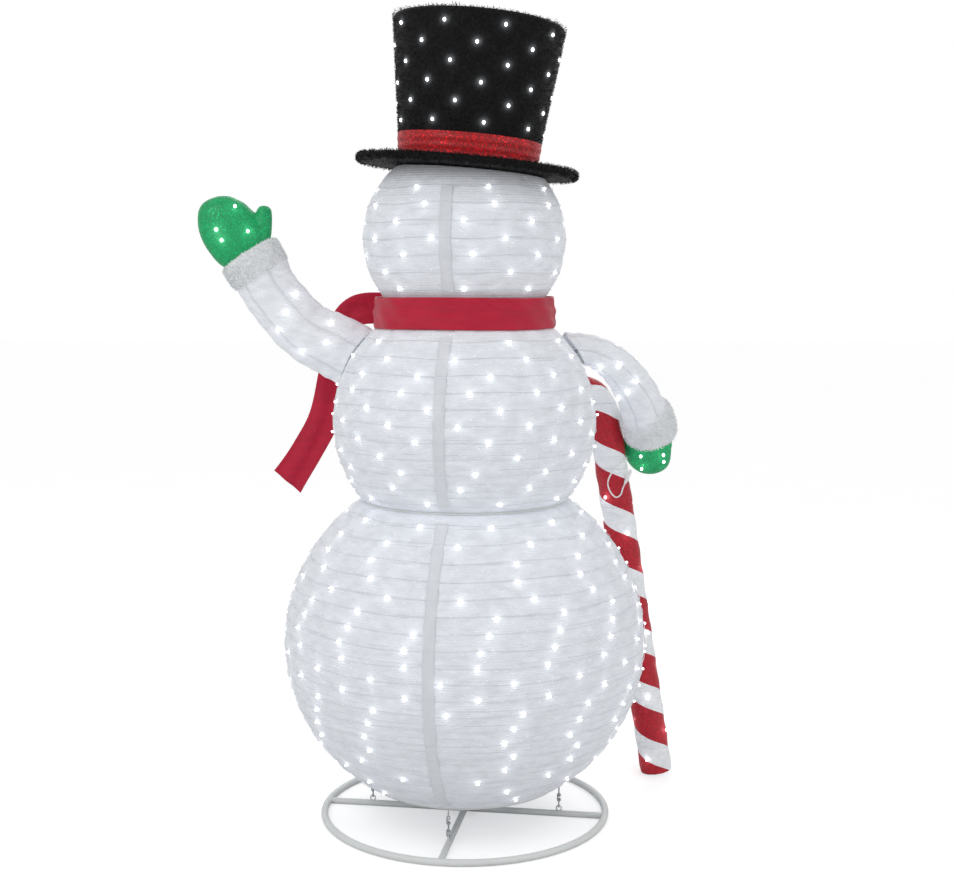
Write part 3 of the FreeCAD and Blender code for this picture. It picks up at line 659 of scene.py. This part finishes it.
def revolve(profile, foot, axis, columns=32):
    """A turned shape: profile is (radius, distance along the axis) from the foot."""
    turn = axis.to_track_quat("Z", "Y").to_matrix()
    verts = [foot + turn @ ring_point(r, TAU * c / columns, z) for r, z in profile for c in range(columns)]
    return verts, capped_faces(len(profile), columns)


def dome(radius, height):
    """Profile of a round-edged button, flat at the back."""
    rim = 0.2
    profile = [(radius * 0.90, 0.0), (radius, height * rim)]
    for k in range(1, 9):
        a = pi / 2 * k / 9
        profile.append((radius * cos(a), height * (rim + (1 - rim) * sin(a))))
    return profile


def ribbed_button(radius, height):
    """Profile of a coat button: raised rim, dished middle."""
    shares = ((0.9, 0), (1, 0.3), (0.98, 0.75), (0.90, 1), (0.80, 1), (0.70, 0.72), (0.4, 0.60), (0.05, 0.58))
    return [(radius * r, height * h) for r, h in shares]


def carrot_profile():
    """A tapering nose with faint rings and a rounded tip."""
    profile = [(0.020, 0.0)]
    for k in range(1, 40):
        share = k / 40
        ring = 0.0007 * sin(share * 70) * (1 - share)
        taper = (NOSE_R - (NOSE_R - NOSE_TIP_R) * share) * (1 - share ** 9) ** 0.5
        profile.append((taper + ring, 0.004 + NOSE_LENGTH * share))
    return profile


def make_face():
    eyes = Batch()
    for side in (-1, 1):
        foot, normal = ball_point(HEAD, radians(FACE_AZIMUTH + side * EYE_SPREAD), EYE_Z, 0.001)
        eyes.add(revolve(dome(EYE_R, EYE_DEPTH), foot, normal))
    stand_in(eyes.make("eye_buttons", ["black_plastic"], "neck"), NECK_Z, "eyes")

    mouth = Batch()
    for k in range(5):
        bend = (k - 2) / 2
        height = MOUTH_Z + MOUTH_RISE * bend * bend
        foot, normal = ball_point(HEAD, radians(FACE_AZIMUTH + MOUTH_SPREAD * bend), height, 0.0005)
        mouth.add(revolve(dome(DOT_R, DOT_R), foot, normal, 20))
    dots = mouth.make("mouth_buttons", ["black_plastic"], "neck")
    stand_in(dots, NECK_Z, "mouth_dots")

    nose = Batch()
    foot, _ = ball_point(HEAD, radians(FACE_AZIMUTH), NOSE_Z)
    nose.add(revolve(carrot_profile(), foot, Vector((0, 1, 0.04)).normalized()))
    stand_in(nose.make("carrot", ["felt"], "neck"), NECK_Z, "carrot_nose")


def make_coat_buttons():
    """Three buttons, each with four thread holes."""
    batch = Batch()
    for height in BUTTON_HEIGHTS:
        foot, normal = ball_point(MIDDLE, radians(FACE_AZIMUTH), height, 0.001)
        batch.add(revolve(ribbed_button(BUTTON_R, BUTTON_DEPTH), foot, normal, 40))
        side = normal.cross(UP).normalized()
        over = side.cross(normal)
        for a in range(4):
            turn = pi / 4 + a * pi / 2
            spot = foot + side * (THREAD_RING_R * cos(turn))
            spot += over * (THREAD_RING_R * sin(turn)) + normal * THREAD_OUT
            batch.add(sphere_points(spot, THREAD_HOLE_R, normal, 0.4), 1)
    made = batch.make("coat_button_set", ["black_plastic", "lamp_wire"], "waist")
    stand_in(made, WAIST_Z, "coat_buttons")


# ---- limbs ----

def spline(values, t):
    """Catmull-Rom through a list of Vectors or numbers, t from 0 to 1."""
    spans = len(values) - 1
    place = min(max(t, 0.0), 1.0) * spans
    i = min(int(place), spans - 1)
    u = place - i
    p1, p2 = values[i], values[i + 1]
    p0 = values[i - 1] if i else p1 * 2 - p2
    p3 = values[i + 2] if i + 2 <= spans else p2 * 2 - p1
    return (p1 * 2 + (p2 - p0) * u + (p0 * 2 - p1 * 5 + p2 * 4 - p3) * (u * u)
            + (p1 * 3 - p0 - p2 * 3 + p3) * (u * u * u)) * 0.5


class Limb:
    """A soft oval tube through stations of (centre, half width, half thickness)."""

    def __init__(self, stations, flat):
        self.centres = [Vector(s[0]) for s in stations]
        self.widths = [s[1] for s in stations]
        self.thicks = [s[2] for s in stations]
        self.flat = Vector(flat)

    def axes(self, t):
        along = (spline(self.centres, min(t + 0.01, 1)) - spline(self.centres, max(t - 0.01, 0))).normalized()
        thin = (self.flat - along * self.flat.dot(along)).normalized()
        return along, thin, thin.cross(along)

    def point(self, t, angle, swell=0.0):
        _, thin, wide = self.axes(t)
        width = (spline(self.widths, t) + swell) * cos(angle)
        depth = (spline(self.thicks, t) + swell) * sin(angle)
        return spline(self.centres, t) + wide * width + thin * depth


WAVE_FLAT, CANE_FLAT = (0, 1, 0), (0, 0.75, 0.66)
WAVE = {
    "sleeve": [((-0.262, 0.092, 1.236), 0.090, 0.042), ((-0.350, 0.092, 1.284), 0.088, 0.042),
               ((-0.440, 0.092, 1.333), 0.082, 0.043), ((-0.527, 0.092, 1.432), 0.078, 0.046),
               ((-0.557, 0.092, 1.490), 0.078, 0.048)],
    "cuff": [((-0.550, 0.092, 1.472), 0.081, 0.052), ((-0.572, 0.092, 1.509), 0.084, 0.056),
             ((-0.595, 0.092, 1.546), 0.085, 0.052)],
    "mitten": [((-0.582, 0.092, 1.525), 0.072, 0.040), ((-0.613, 0.092, 1.568), 0.081, 0.044),
               ((-0.645, 0.092, 1.613), 0.079, 0.045), ((-0.662, 0.092, 1.655), 0.066, 0.040),
               ((-0.669, 0.092, 1.692), 0.040, 0.028)],
    "thumb": [((-0.562, 0.092, 1.550), 0.028, 0.024), ((-0.549, 0.092, 1.612), 0.023, 0.021),
              ((-0.544, 0.092, 1.668), 0.019, 0.017)],
}
CANE_ARM = {
    "sleeve": [((0.268, 0.045, 1.284), 0.042, 0.042), ((0.345, 0.060, 1.275), 0.042, 0.042),
               ((0.418, 0.100, 1.232), 0.050, 0.046), ((0.482, 0.165, 1.150), 0.060, 0.052),
               ((0.515, 0.232, 1.072), 0.066, 0.056)],
    "cuff": [((0.503, 0.205, 1.112), 0.068, 0.056), ((0.524, 0.245, 1.062), 0.076, 0.063),
             ((0.542, 0.285, 1.005), 0.072, 0.058)],
    "mitten": [((0.530, 0.300, 1.035), 0.060, 0.040), ((0.532, 0.332, 0.985), 0.072, 0.044),
               ((0.545, 0.352, 0.935), 0.060, 0.040), ((0.550, 0.368, 0.903), 0.036, 0.026)],
    "thumb": [((0.520, 0.335, 1.010), 0.024, 0.020), ((0.482, 0.362, 1.040), 0.020, 0.017),
              ((0.462, 0.371, 1.064), 0.015, 0.013)],
}


def outside_ball(point, gap):
    centre, equator, pole = MIDDLE[:3]
    share = (hypot(point.x, point.y) / (equator + gap)) ** 2 + ((point.z - centre) / (pole + gap)) ** 2
    return share > 1


def sleeve_mesh(body, stations, flat, lights):
    """A sewn fabric sleeve whose open end follows the ball that it is pegged to."""
    limb = Limb(stations, flat)
    rows, columns = 90, 120
    starts = []
    for c in range(columns):
        low, high = 0.0, 0.6
        for _ in range(14):
            middle = (low + high) / 2
            if outside_ball(limb.point(middle, TAU * c / columns), 0.009):
                high = middle
            else:
                low = middle
        starts.append(high)
    verts = []
    for r in range(rows):
        for c in range(columns):
            angle = TAU * c / columns
            t = starts[c] + (1 - starts[c]) * r / (rows - 1)
            lobe = abs(sin(angle * 3 + 0.5))
            swell = -0.0035 * (1 - lobe) ** 4 + 0.0014 * sin(t * 60) * lobe
            swell += 0.0007 * sin(angle * 19 + t * 40)
            verts.append(limb.point(t, angle, swell))
    made = piece(body + "_sleeve_cloth", verts, grid_faces(rows, columns), ["sleeve"], body)
    seams = [(1 - abs(sin(TAU * c / columns * 3 + 0.5))) ** 8 for c in range(columns)]
    made.data.attributes.new("seam", "FLOAT", "POINT").data.foreach_set("value", seams * rows)
    thick = made.modifiers.new("cloth_thickness", "SOLIDIFY")
    thick.thickness = 0.0015
    add_glow(made, lights)
    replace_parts(made, body + "_sleeve")


def end_rounding(t):
    """Share of a limb's girth at t: full along it, drawn in at both ends."""
    return sqrt(max(0.0, 1 - abs(2 * t - 1) ** 8)) * 0.97 + 0.03


def closed_limb(stations, flat, rows=40, columns=40, relief=None):
    """Vertices and faces of a limb with rounded ends."""
    limb = Limb(stations, flat)
    verts = []
    for r in range(rows + 1):
        t = r / rows
        centre = spline(limb.centres, t)
        for c in range(columns):
            angle = TAU * c / columns
            point = limb.point(t, angle, relief(t, angle) if relief else 0.0)
            verts.append(centre + (point - centre) * end_rounding(t))
    return verts, capped_faces(rows + 1, columns)


def bake_modifiers(obj):
    """Replace an object's mesh by what its modifiers make of it."""
    graph = bpy.context.evaluated_depsgraph_get()
    mesh = bpy.data.meshes.new_from_object(obj.evaluated_get(graph))
    obj.modifiers.clear()
    obj.data = mesh


def mitten_mesh(body, hand, flat, lights):
    """Palm and thumb as one puffed form, with a raised seam round its edge."""
    batch = Batch()
    batch.add(closed_limb(hand["mitten"], flat))
    batch.add(closed_limb(hand["thumb"], flat, 24, 24))
    made = batch.make(body + "_mitten_cloth", ["green"], body)
    remesh = made.modifiers.new("join", "REMESH")
    remesh.mode = "VOXEL"
    remesh.voxel_size = 0.0038
    smooth = made.modifiers.new("soften", "SMOOTH")
    smooth.factor = 0.6
    smooth.iterations = 7
    bake_modifiers(made)
    normal = Vector(flat).normalized()
    plane = Vector(hand["mitten"][1][0]).dot(normal)
    for vertex in made.data.vertices:
        side = vertex.co.dot(normal) - plane
        out = vertex.normal - normal * vertex.normal.dot(normal)
        vertex.co += out * (0.0022 * exp(-(side / 0.0030) ** 2))
    made.data.polygons.foreach_set("use_smooth", [True] * len(made.data.polygons))
    add_glow(made, lights)
    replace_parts(made, body + "_mitten")


def tufts(batch, surface, count, length, width, lean, seed):
    """Scatter thin blades over a surface(u, v) that gives a point and a normal."""
    chance = random.Random(seed)
    for _ in range(count):
        point, normal = surface(chance.random(), chance.random())
        sideways = Vector([chance.gauss(0, 1) for _ in range(3)])
        sideways = (sideways - normal * sideways.dot(normal)).normalized()
        way = (normal * (1 - lean) + sideways * lean).normalized()
        reach = length * chance.uniform(0.6, 1.25)
        across = way.cross(normal)
        across = across.normalized() * width if across.length > 1e-4 else sideways * width
        tip = point + way * reach
        middle = point + way * (reach * 0.55) + normal * (reach * 0.08)
        verts = [point - across, point + across, middle + across * 0.8, middle - across * 0.8, tip]
        batch.add((verts, [(0, 1, 2, 3), (3, 2, 4)]))


def cuff_mesh(body, stations, flat, seed):
    """A plush cuff: a puffed band with short pile."""
    limb = Limb(stations, flat)

    def relief(t, angle):
        return 0.0016 * sin(angle * 9 + 3 * t) * sin(t * 14 + angle * 2)

    def surface(u, v):
        t, angle = 0.04 + 0.92 * u, TAU * v
        point = limb.point(t, angle)
        centre = spline(limb.centres, t)
        return centre + (point - centre) * end_rounding(t), (point - centre).normalized()

    batch = Batch()
    batch.add(closed_limb(stations, flat, 36, 64, relief))
    tufts(batch, surface, 5200, 0.0075, 0.0007, 0.45, seed)
    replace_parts(batch.make(body + "_cuff_plush", ["plush"], body), body + "_cuff")


def sunk_lamps(body, centres, hub_of):
    """Lamps of a limb or the hat, set 4 mm in towards its middle line."""
    batch = Batch()
    for centre in centres:
        spot = centre - (centre - hub_of(centre)).normalized() * 0.004
        batch.add(sphere_points(spot, LAMP_R, UP, LAMP_LENGTH))
    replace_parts(batch.make(body + "_lamps", ["lamp"], body), body + "_lights")


def nearest_on(limb):
    samples = [spline(limb.centres, k / 40) for k in range(41)]
    return lambda p: min(samples, key=lambda q: (p - q).length)


def make_arm(body, parts, flat, seed):
    lights = bulb_centres(body + "_lights")
    sleeve_mesh(body, parts["sleeve"], flat, lights)
    cuff_mesh(body, parts["cuff"], flat, seed)
    mitten_mesh(body, parts, flat, lights)
    sunk_lamps(body, lights, nearest_on(Limb(parts["sleeve"] + parts["mitten"], flat)))


# ---- scarf ----

def make_scarf():
    make_wrap()
    make_tails()
    knot = Batch()
    for place, size in KNOT_LUMPS:
        knot.add(knot_wrap(Vector(place), size))
    stand_in(knot.make("scarf_knot_cloth", ["satin"], "neck"), NECK_Z, "scarf_knot")


def make_wrap():
    """The band round the neck, with soft folds and drawn-in hems."""
    rows, columns = 22, 260
    verts = []
    for r in range(rows):
        v = r / (rows - 1)
        for c in range(columns):
            azimuth = TAU * c / columns
            taper = WRAP_R - WRAP_TAPER * v
            fold = 0.0018 * sin(v * 15 + azimuth * 2.0) * sin(pi * v)
            fold += 0.0012 * sin(azimuth * 17 + 6 * v)
            hem = -0.0022 * (1 - sin(pi * v) ** 0.25)
            radius = taper + fold + hem
            level = WRAP_LOW + (WRAP_HIGH - WRAP_LOW) * v + 0.0012 * sin(azimuth * 3 + 1.0)
            verts.append(ring_point(radius, azimuth, level))
    wrap = piece("scarf_band", verts, grid_faces(rows, columns), ["satin"], "neck")
    thick = wrap.modifiers.new("cloth_thickness", "SOLIDIFY")
    thick.thickness = SCARF_CLOTH
    bake_modifiers(wrap)
    stand_in(wrap, NECK_Z, "scarf_wrap")


def make_tails():
    """The tail that flies out to the side and the one that hangs in front."""
    azimuth = radians(FRONT_TAIL_AZIMUTH)
    front = [ball_point(MIDDLE, azimuth, z, FRONT_TAIL_OUT)[0] for z in FRONT_TAIL_HEIGHTS]
    batch = Batch()
    batch.add(ribbon(SIDE_TAIL, (-0.25, 1, 0.1), 0.044, 0.0045))
    batch.add(ribbon(front, (-0.53, 0.85, 0), 0.042, 0.0035))
    stand_in(batch.make("scarf_tail_cloth", ["satin"], "neck"), NECK_Z, "scarf_tails")


def ribbon(stations, flat, half_width, wave):
    """A strip of cloth with gentle lengthwise folds, as a thin closed sheet."""
    limb = Limb([(s, half_width, 0.001) for s in stations], flat)
    rows, columns = 90, 25
    verts = []
    for face_side in (1, -1):
        for r in range(rows):
            t = r / (rows - 1)
            _, thin, wide = limb.axes(t)
            centre = spline(limb.centres, t)
            for c in range(columns):
                share = c / (columns - 1) * 2 - 1
                fold = wave * sin(share * 5.2 + t * 4.0) * (0.35 + 0.65 * t)
                notch = 0.010 * share * (t ** 12)
                half_cloth = 0.0011 * (1 - share ** 8) + 0.0003
                depth = thin * (fold + face_side * half_cloth)
                verts.append(centre + wide * (half_width * share) + depth + UP * notch)
    front = grid_faces(rows, columns, False)
    shift = rows * columns
    back = [tuple(shift + i for i in reversed(face)) for face in front]
    rim = list(range(columns)) + [r * columns + columns - 1 for r in range(1, rows)]
    rim += [(rows - 1) * columns + c for c in range(columns - 2, -1, -1)]
    rim += [r * columns for r in range(rows - 2, 0, -1)]
    sides = [(b, a, a + shift, b + shift) for a, b in zip(rim, rim[1:] + rim[:1])]
    return verts, front + back + sides


def knot_wrap(centre, size):
    """One soft lump of a tied knot, creased down its sides."""
    rows, columns = 18, 36
    outward = Vector((centre.x, centre.y, 0)).normalized()
    across = outward.cross(UP)
    verts = []
    for r in range(rows + 1):
        polar = pi * (0.02 + 0.96 * r / rows)
        for c in range(columns):
            a = TAU * c / columns
            crease = 1 + 0.07 * sin(a * 7 + 3 * cos(polar))
            ring = sin(polar) * crease * size
            flat = across * (0.030 * ring * cos(a)) + outward * (0.020 * ring * sin(a))
            verts.append(centre + flat + UP * (-0.030 * size * cos(polar)))
    return verts, capped_faces(rows + 1, columns)


# ---- hat ----

HAT_TURN = Matrix.Translation(HAT_PLACE) @ Matrix.Rotation(HAT_TILT, 4, "Y")
HAT_FLOOR = BRIM_T / 2
HAT_TOP = HAT_FLOOR + CROWN_H


def crown_radius(height):
    return CROWN_R0 + (CROWN_R1 - CROWN_R0) * height / CROWN_H


def hat_spot(radius, azimuth, height):
    """A point from the hat's own radius, azimuth and height."""
    return HAT_TURN @ ring_point(radius, azimuth, height)


def hat_way(x, y, z):
    """A direction from the hat's own axes."""
    return (HAT_TURN.to_3x3() @ Vector((x, y, z))).normalized()


def hat_shape(profile, columns=160):
    """A turned shell in the hat's frame, from (radius, height) points; its end rings stay open."""
    verts = [hat_spot(r, TAU * c / columns, height) for r, height in profile for c in range(columns)]
    return verts, grid_faces(len(profile), columns)


def crown_profile():
    """Wall, rounded edge and flat top of the crown."""
    profile = [(crown_radius(0) - 0.003, HAT_FLOOR)]
    for k in range(60):
        height = (CROWN_H - CROWN_ROUND) * k / 59
        profile.append((crown_radius(height), HAT_FLOOR + height))
    edge_r = CROWN_R1 - CROWN_ROUND
    for k in range(1, 9):
        a = pi / 2 * k / 8
        rise = CROWN_ROUND * sin(a)
        profile.append((edge_r + CROWN_ROUND * cos(a) - 0.001, HAT_TOP - CROWN_ROUND + rise))
    for k in range(1, 26):
        profile.append((edge_r * (1 - k / 25.5), HAT_TOP))
    return profile


def crown_wall(u, v):
    height = BAND_H + (CROWN_H - BAND_H) * u
    spot = hat_spot(crown_radius(height), TAU * v, HAT_FLOOR + height)
    return spot, hat_way(cos(TAU * v), sin(TAU * v), -0.12)


def crown_lid(u, v):
    return hat_spot((CROWN_R1 - 0.006) * sqrt(u), TAU * v, HAT_TOP), hat_way(0, 0, 1)


def brim_profile():
    """Flat faces and rounded edge of the brim, closed at its opening."""
    flat_r = BRIM_R - 0.014
    profile = [(BRIM_HOLE_R, -HAT_FLOOR), (flat_r, -HAT_FLOOR)]
    for k in range(1, 12):
        a = pi * k / 12 - pi / 2
        profile.append((BRIM_R - BRIM_ROUND + BRIM_BULGE * cos(a), HAT_FLOOR * sin(a)))
    return profile + [(flat_r, HAT_FLOOR), (BRIM_HOLE_R, HAT_FLOOR), (BRIM_HOLE_R, -HAT_FLOOR)]


def brim_face(u, v):
    """The first 42 per cent of u is the underside, the rest the upper side outside the crown."""
    side = -1 if u < 0.42 else 1
    share = (u / 0.42) if side < 0 else (u - 0.42) / 0.58
    inner = BRIM_HOLE_R + 0.01 if side < 0 else CROWN_R0 + 0.003
    radius = sqrt(inner ** 2 + share * ((BRIM_R - 0.006) ** 2 - inner ** 2))
    return hat_spot(radius, TAU * v, side * HAT_FLOOR * 0.95), hat_way(0, 0, side)


def brim_edge(u, v):
    a = pi * (u - 0.5)
    spot = hat_spot(BRIM_R - BRIM_ROUND + BRIM_BULGE * cos(a), TAU * v, HAT_FLOOR * sin(a))
    return spot, hat_way(cos(TAU * v) * cos(a), sin(TAU * v) * cos(a), sin(a))


def band_profile():
    """The ribbon round the crown's foot: a folded face, then its back, closed at the first point."""
    outer = []
    for k in range(24):
        v = k / 23
        bulge = 0.0016 * sin(pi * v) ** 0.4 + 0.0006 * sin(v * 19)
        outer.append((crown_radius(BAND_H * v) + 0.0030 + bulge, HAT_FLOOR + 0.001 + BAND_H * v))
    back = [(r - 0.0026, h) for r, h in (outer[-1], outer[0])]
    return outer + back + outer[:1]


def tinsel_piece(name, node, profile, tuft_runs, lights):
    """A turned shell under tinsel; a run is a surface, tuft count, length, lean and seed."""
    batch = Batch()
    batch.add(hat_shape(profile))
    for surface, count, length, lean, seed in tuft_runs:
        tufts(batch, surface, count, length, TUFT_WIDTH, lean, seed)
    made = batch.make(name, ["tinsel"], "hat")
    add_glow(made, lights, 0.0085, 0.020, 0.05)
    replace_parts(made, node)


def make_hat():
    lights = bulb_centres("hat_lights")
    crown_runs = ((crown_wall, 17000, 0.0105, 0.72, 11), (crown_lid, 4200, 0.0095, 0.75, 12))
    brim_runs = ((brim_face, 13000, 0.0085, 0.80, 13), (brim_edge, 5200, 0.0105, 0.60, 14))
    tinsel_piece("hat_crown_tinsel", "hat_crown", crown_profile(), crown_runs, lights)
    tinsel_piece("hat_brim_tinsel", "hat_brim", brim_profile(), brim_runs, lights)

    batch = Batch()
    batch.add(hat_shape(band_profile(), 200))
    band = batch.make("hat_band_glitter", ["red"], "hat")
    add_glow(band, lights)
    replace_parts(band, "hat_band")

    axis = HAT_TURN.to_3x3() @ UP

    def on_axis(p):
        return HAT_PLACE + axis * (p - HAT_PLACE).dot(axis)

    sunk_lamps("hat", lights, on_axis)


# ---- candy cane ----

def cane_axes():
    shaft = (CANE_NECK - CANE_FOOT).normalized()
    side = (CANE_HOOK_DIR - shaft * CANE_HOOK_DIR.dot(shaft)).normalized()
    return shaft, side, side.cross(shaft), CANE_NECK + side * CANE_HOOK_R


def cane_place(distance):
    """Centre and inner side of the cane at a distance along it."""
    shaft, side, _, centre = cane_axes()
    straight = (CANE_NECK - CANE_FOOT).length
    if distance <= straight:
        return CANE_FOOT + shaft * distance, side
    turn = (distance - straight) / CANE_HOOK_R
    inner = side * cos(turn) - shaft * sin(turn)
    return centre - inner * CANE_HOOK_R, inner


def make_cane():
    lights = bulb_centres("cane_lights")
    _, _, across, _ = cane_axes()
    length = (CANE_NECK - CANE_FOOT).length + pi * CANE_HOOK_R - 0.001
    rows, columns = int((length - CANE_START) / CANE_ROW_STEP) + 1, 64
    verts = []
    for r in range(rows):
        distance = CANE_START + (length - CANE_START) * r / (rows - 1)
        centre, inner = cane_place(distance)
        puff = 0.0022 * sin(pi * ((distance / CANE_PUFF_PITCH) % 1.0)) ** 2 - 0.0016
        for c in range(columns):
            angle = TAU * c / columns + TAU * distance / CANE_PITCH + CANE_TWIST
            radius = CANE_R + puff + 0.0005 * sin(angle * 13 + distance * 90)
            verts.append(centre + inner * (radius * cos(angle)) + across * (radius * sin(angle)))
    indices = [1 if c < columns * CANE_RED_SHARE else 0 for c in range(columns)] * (rows - 1) + [0, 0]
    faces = capped_faces(rows, columns)
    made = piece("cane_skin", verts, faces, ["cane_white", "cane_red"], "root", indices)
    add_glow(made, lights)
    stand_in(made, 0.0, "cane_cover", "cane_stripes", "cane_hoops", "cane_end_caps", keep=CANE_KEEP)

    batch = Batch()
    for centre in lights:
        batch.add(sphere_points(centre, LAMP_R, UP, LAMP_LENGTH))
    lamps = batch.make("cane_lamps", ["lamp"], "root")
    stand_in(lamps, 0.0, "cane_lights", keep=CANE_KEEP)

    batch = Batch()
    batch.add(wire_tube(cane_lead_path(), LEAD_R, 8))
    batch.add(connector())
    lead = batch.make("cane_lead_wire", ["white_plastic"], "root")
    stand_in(lead, 0.0, "cane_lead", keep=CANE_KEEP)


def cane_lead_path():
    """A loop of the light lead that bows out over the near side of the cane."""
    centre, _ = cane_place(LEAD_AT)
    near = centre + Vector((0, -CANE_R - 0.006, 0))
    loop = [(0.036, 0.006, 0.064), (0.012, -0.002, 0.046), (-0.010, -0.006, 0.020), (-0.020, -0.006, -0.008),
            (-0.012, -0.004, -0.034), (0.004, 0.000, -0.050), (0.018, 0.004, -0.044), (0.024, 0.004, -0.026),
            (0.030, 0.006, -0.012)]
    points = [near + Vector(p) for p in loop]
    return [spline(points, k / 60) for k in range(61)]


def connector():
    """A plain two-part plug in the lead."""
    path = cane_lead_path()
    foot, way = path[-1], (path[-1] - path[-4]).normalized()
    profile = [(0.0024, 0), (0.0040, 0.002), (0.0046, 0.006), (0.0046, 0.020),
               (0.0060, 0.022), (0.0060, 0.036), (0.0046, 0.038), (0.0034, 0.044)]
    return revolve(profile, foot, way, 20)


# ---- carried-over CAD nodes ----

def dress_frame():
    """Give each CAD node that stays its own material."""
    dress = {
        "white_steel": ["base_ring", "base_cross_bars", "pole_socket", "lower_pole_tube", "middle_pole_tube",
                        "upper_pole_tube", "head_top_spider", "lower_body_ring", "waist_ring", "neck_ring"],
        "zinc_steel": ["tie_chains", "tie_hooks", "shoulder_pegs"],
        "spring_wire": ["hat_frame", "waving_arm_frame", "cane_arm_frame"],
        "black_plastic": ["lower_pole_collar", "upper_pole_collar", "socket_screw", "lower_lock_screw",
                          "upper_lock_screw"],
        "white_plastic": ["power_lead", "power_plug"],
    }
    for key, names in dress.items():
        for name in names:
            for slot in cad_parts[name].material_slots:
                slot.material = MATERIALS[key]


# ---- studio ----

def studio():
    s = Shader("studio_floor", (0.80, 0.80, 0.80), roughness=0.9)
    s.to("Base Color", s.mix(s.noise(2.0), (0.79, 0.79, 0.79, 1), (0.81, 0.81, 0.81, 1)))
    seen = s.node("LightPath").outputs["Is Camera Ray"]
    s.glow((1, 1, 1, 1), s.times(seen, FLOOR_GLOW))
    bpy.ops.mesh.primitive_plane_add(size=FLOOR_SIZE)
    floor = bpy.context.object
    floor.name = "floor"
    floor.data.materials.append(s.mat)

    world = bpy.data.worlds.new("studio")
    world.use_nodes = True
    tree = world.node_tree
    seen = tree.nodes.new("ShaderNodeLightPath").outputs["Is Camera Ray"]
    level = tree.nodes.new("ShaderNodeMapRange")
    tree.links.new(seen, level.inputs["Value"])
    level.inputs["To Min"].default_value = SKY_LIGHT
    level.inputs["To Max"].default_value = 1.0
    tree.links.new(level.outputs[0], tree.nodes["Background"].inputs["Strength"])
    tree.nodes["Background"].inputs["Color"].default_value = (1, 1, 1, 1)
    bpy.context.scene.world = world

    for name, place, aim, size, power in STUDIO_LIGHTS:
        data = bpy.data.lights.new(name, "AREA")
        data.size = size
        data.energy = power
        light = add_object(name, data)
        light.location = place
        light.rotation_euler = (Vector(aim) - Vector(place)).to_track_quat("-Z", "Y").to_euler()

    data = bpy.data.cameras.new("camera")
    data.sensor_width = SENSOR
    data.lens = LENS
    camera = add_object("camera", data)
    camera.location = CAMERA_PLACE
    camera.rotation_euler = (radians(90 - CAMERA_DIP), 0, 0)
    bpy.context.scene.camera = camera
    bpy.context.scene.view_settings.view_transform = "Standard"


dress_frame()
make_balls()
make_face()
make_coat_buttons()
make_arm("waving_arm", WAVE, WAVE_FLAT, 21)
make_arm("cane_arm", CANE_ARM, CANE_FLAT, 22)
make_scarf()
make_hat()
make_cane()
studio()
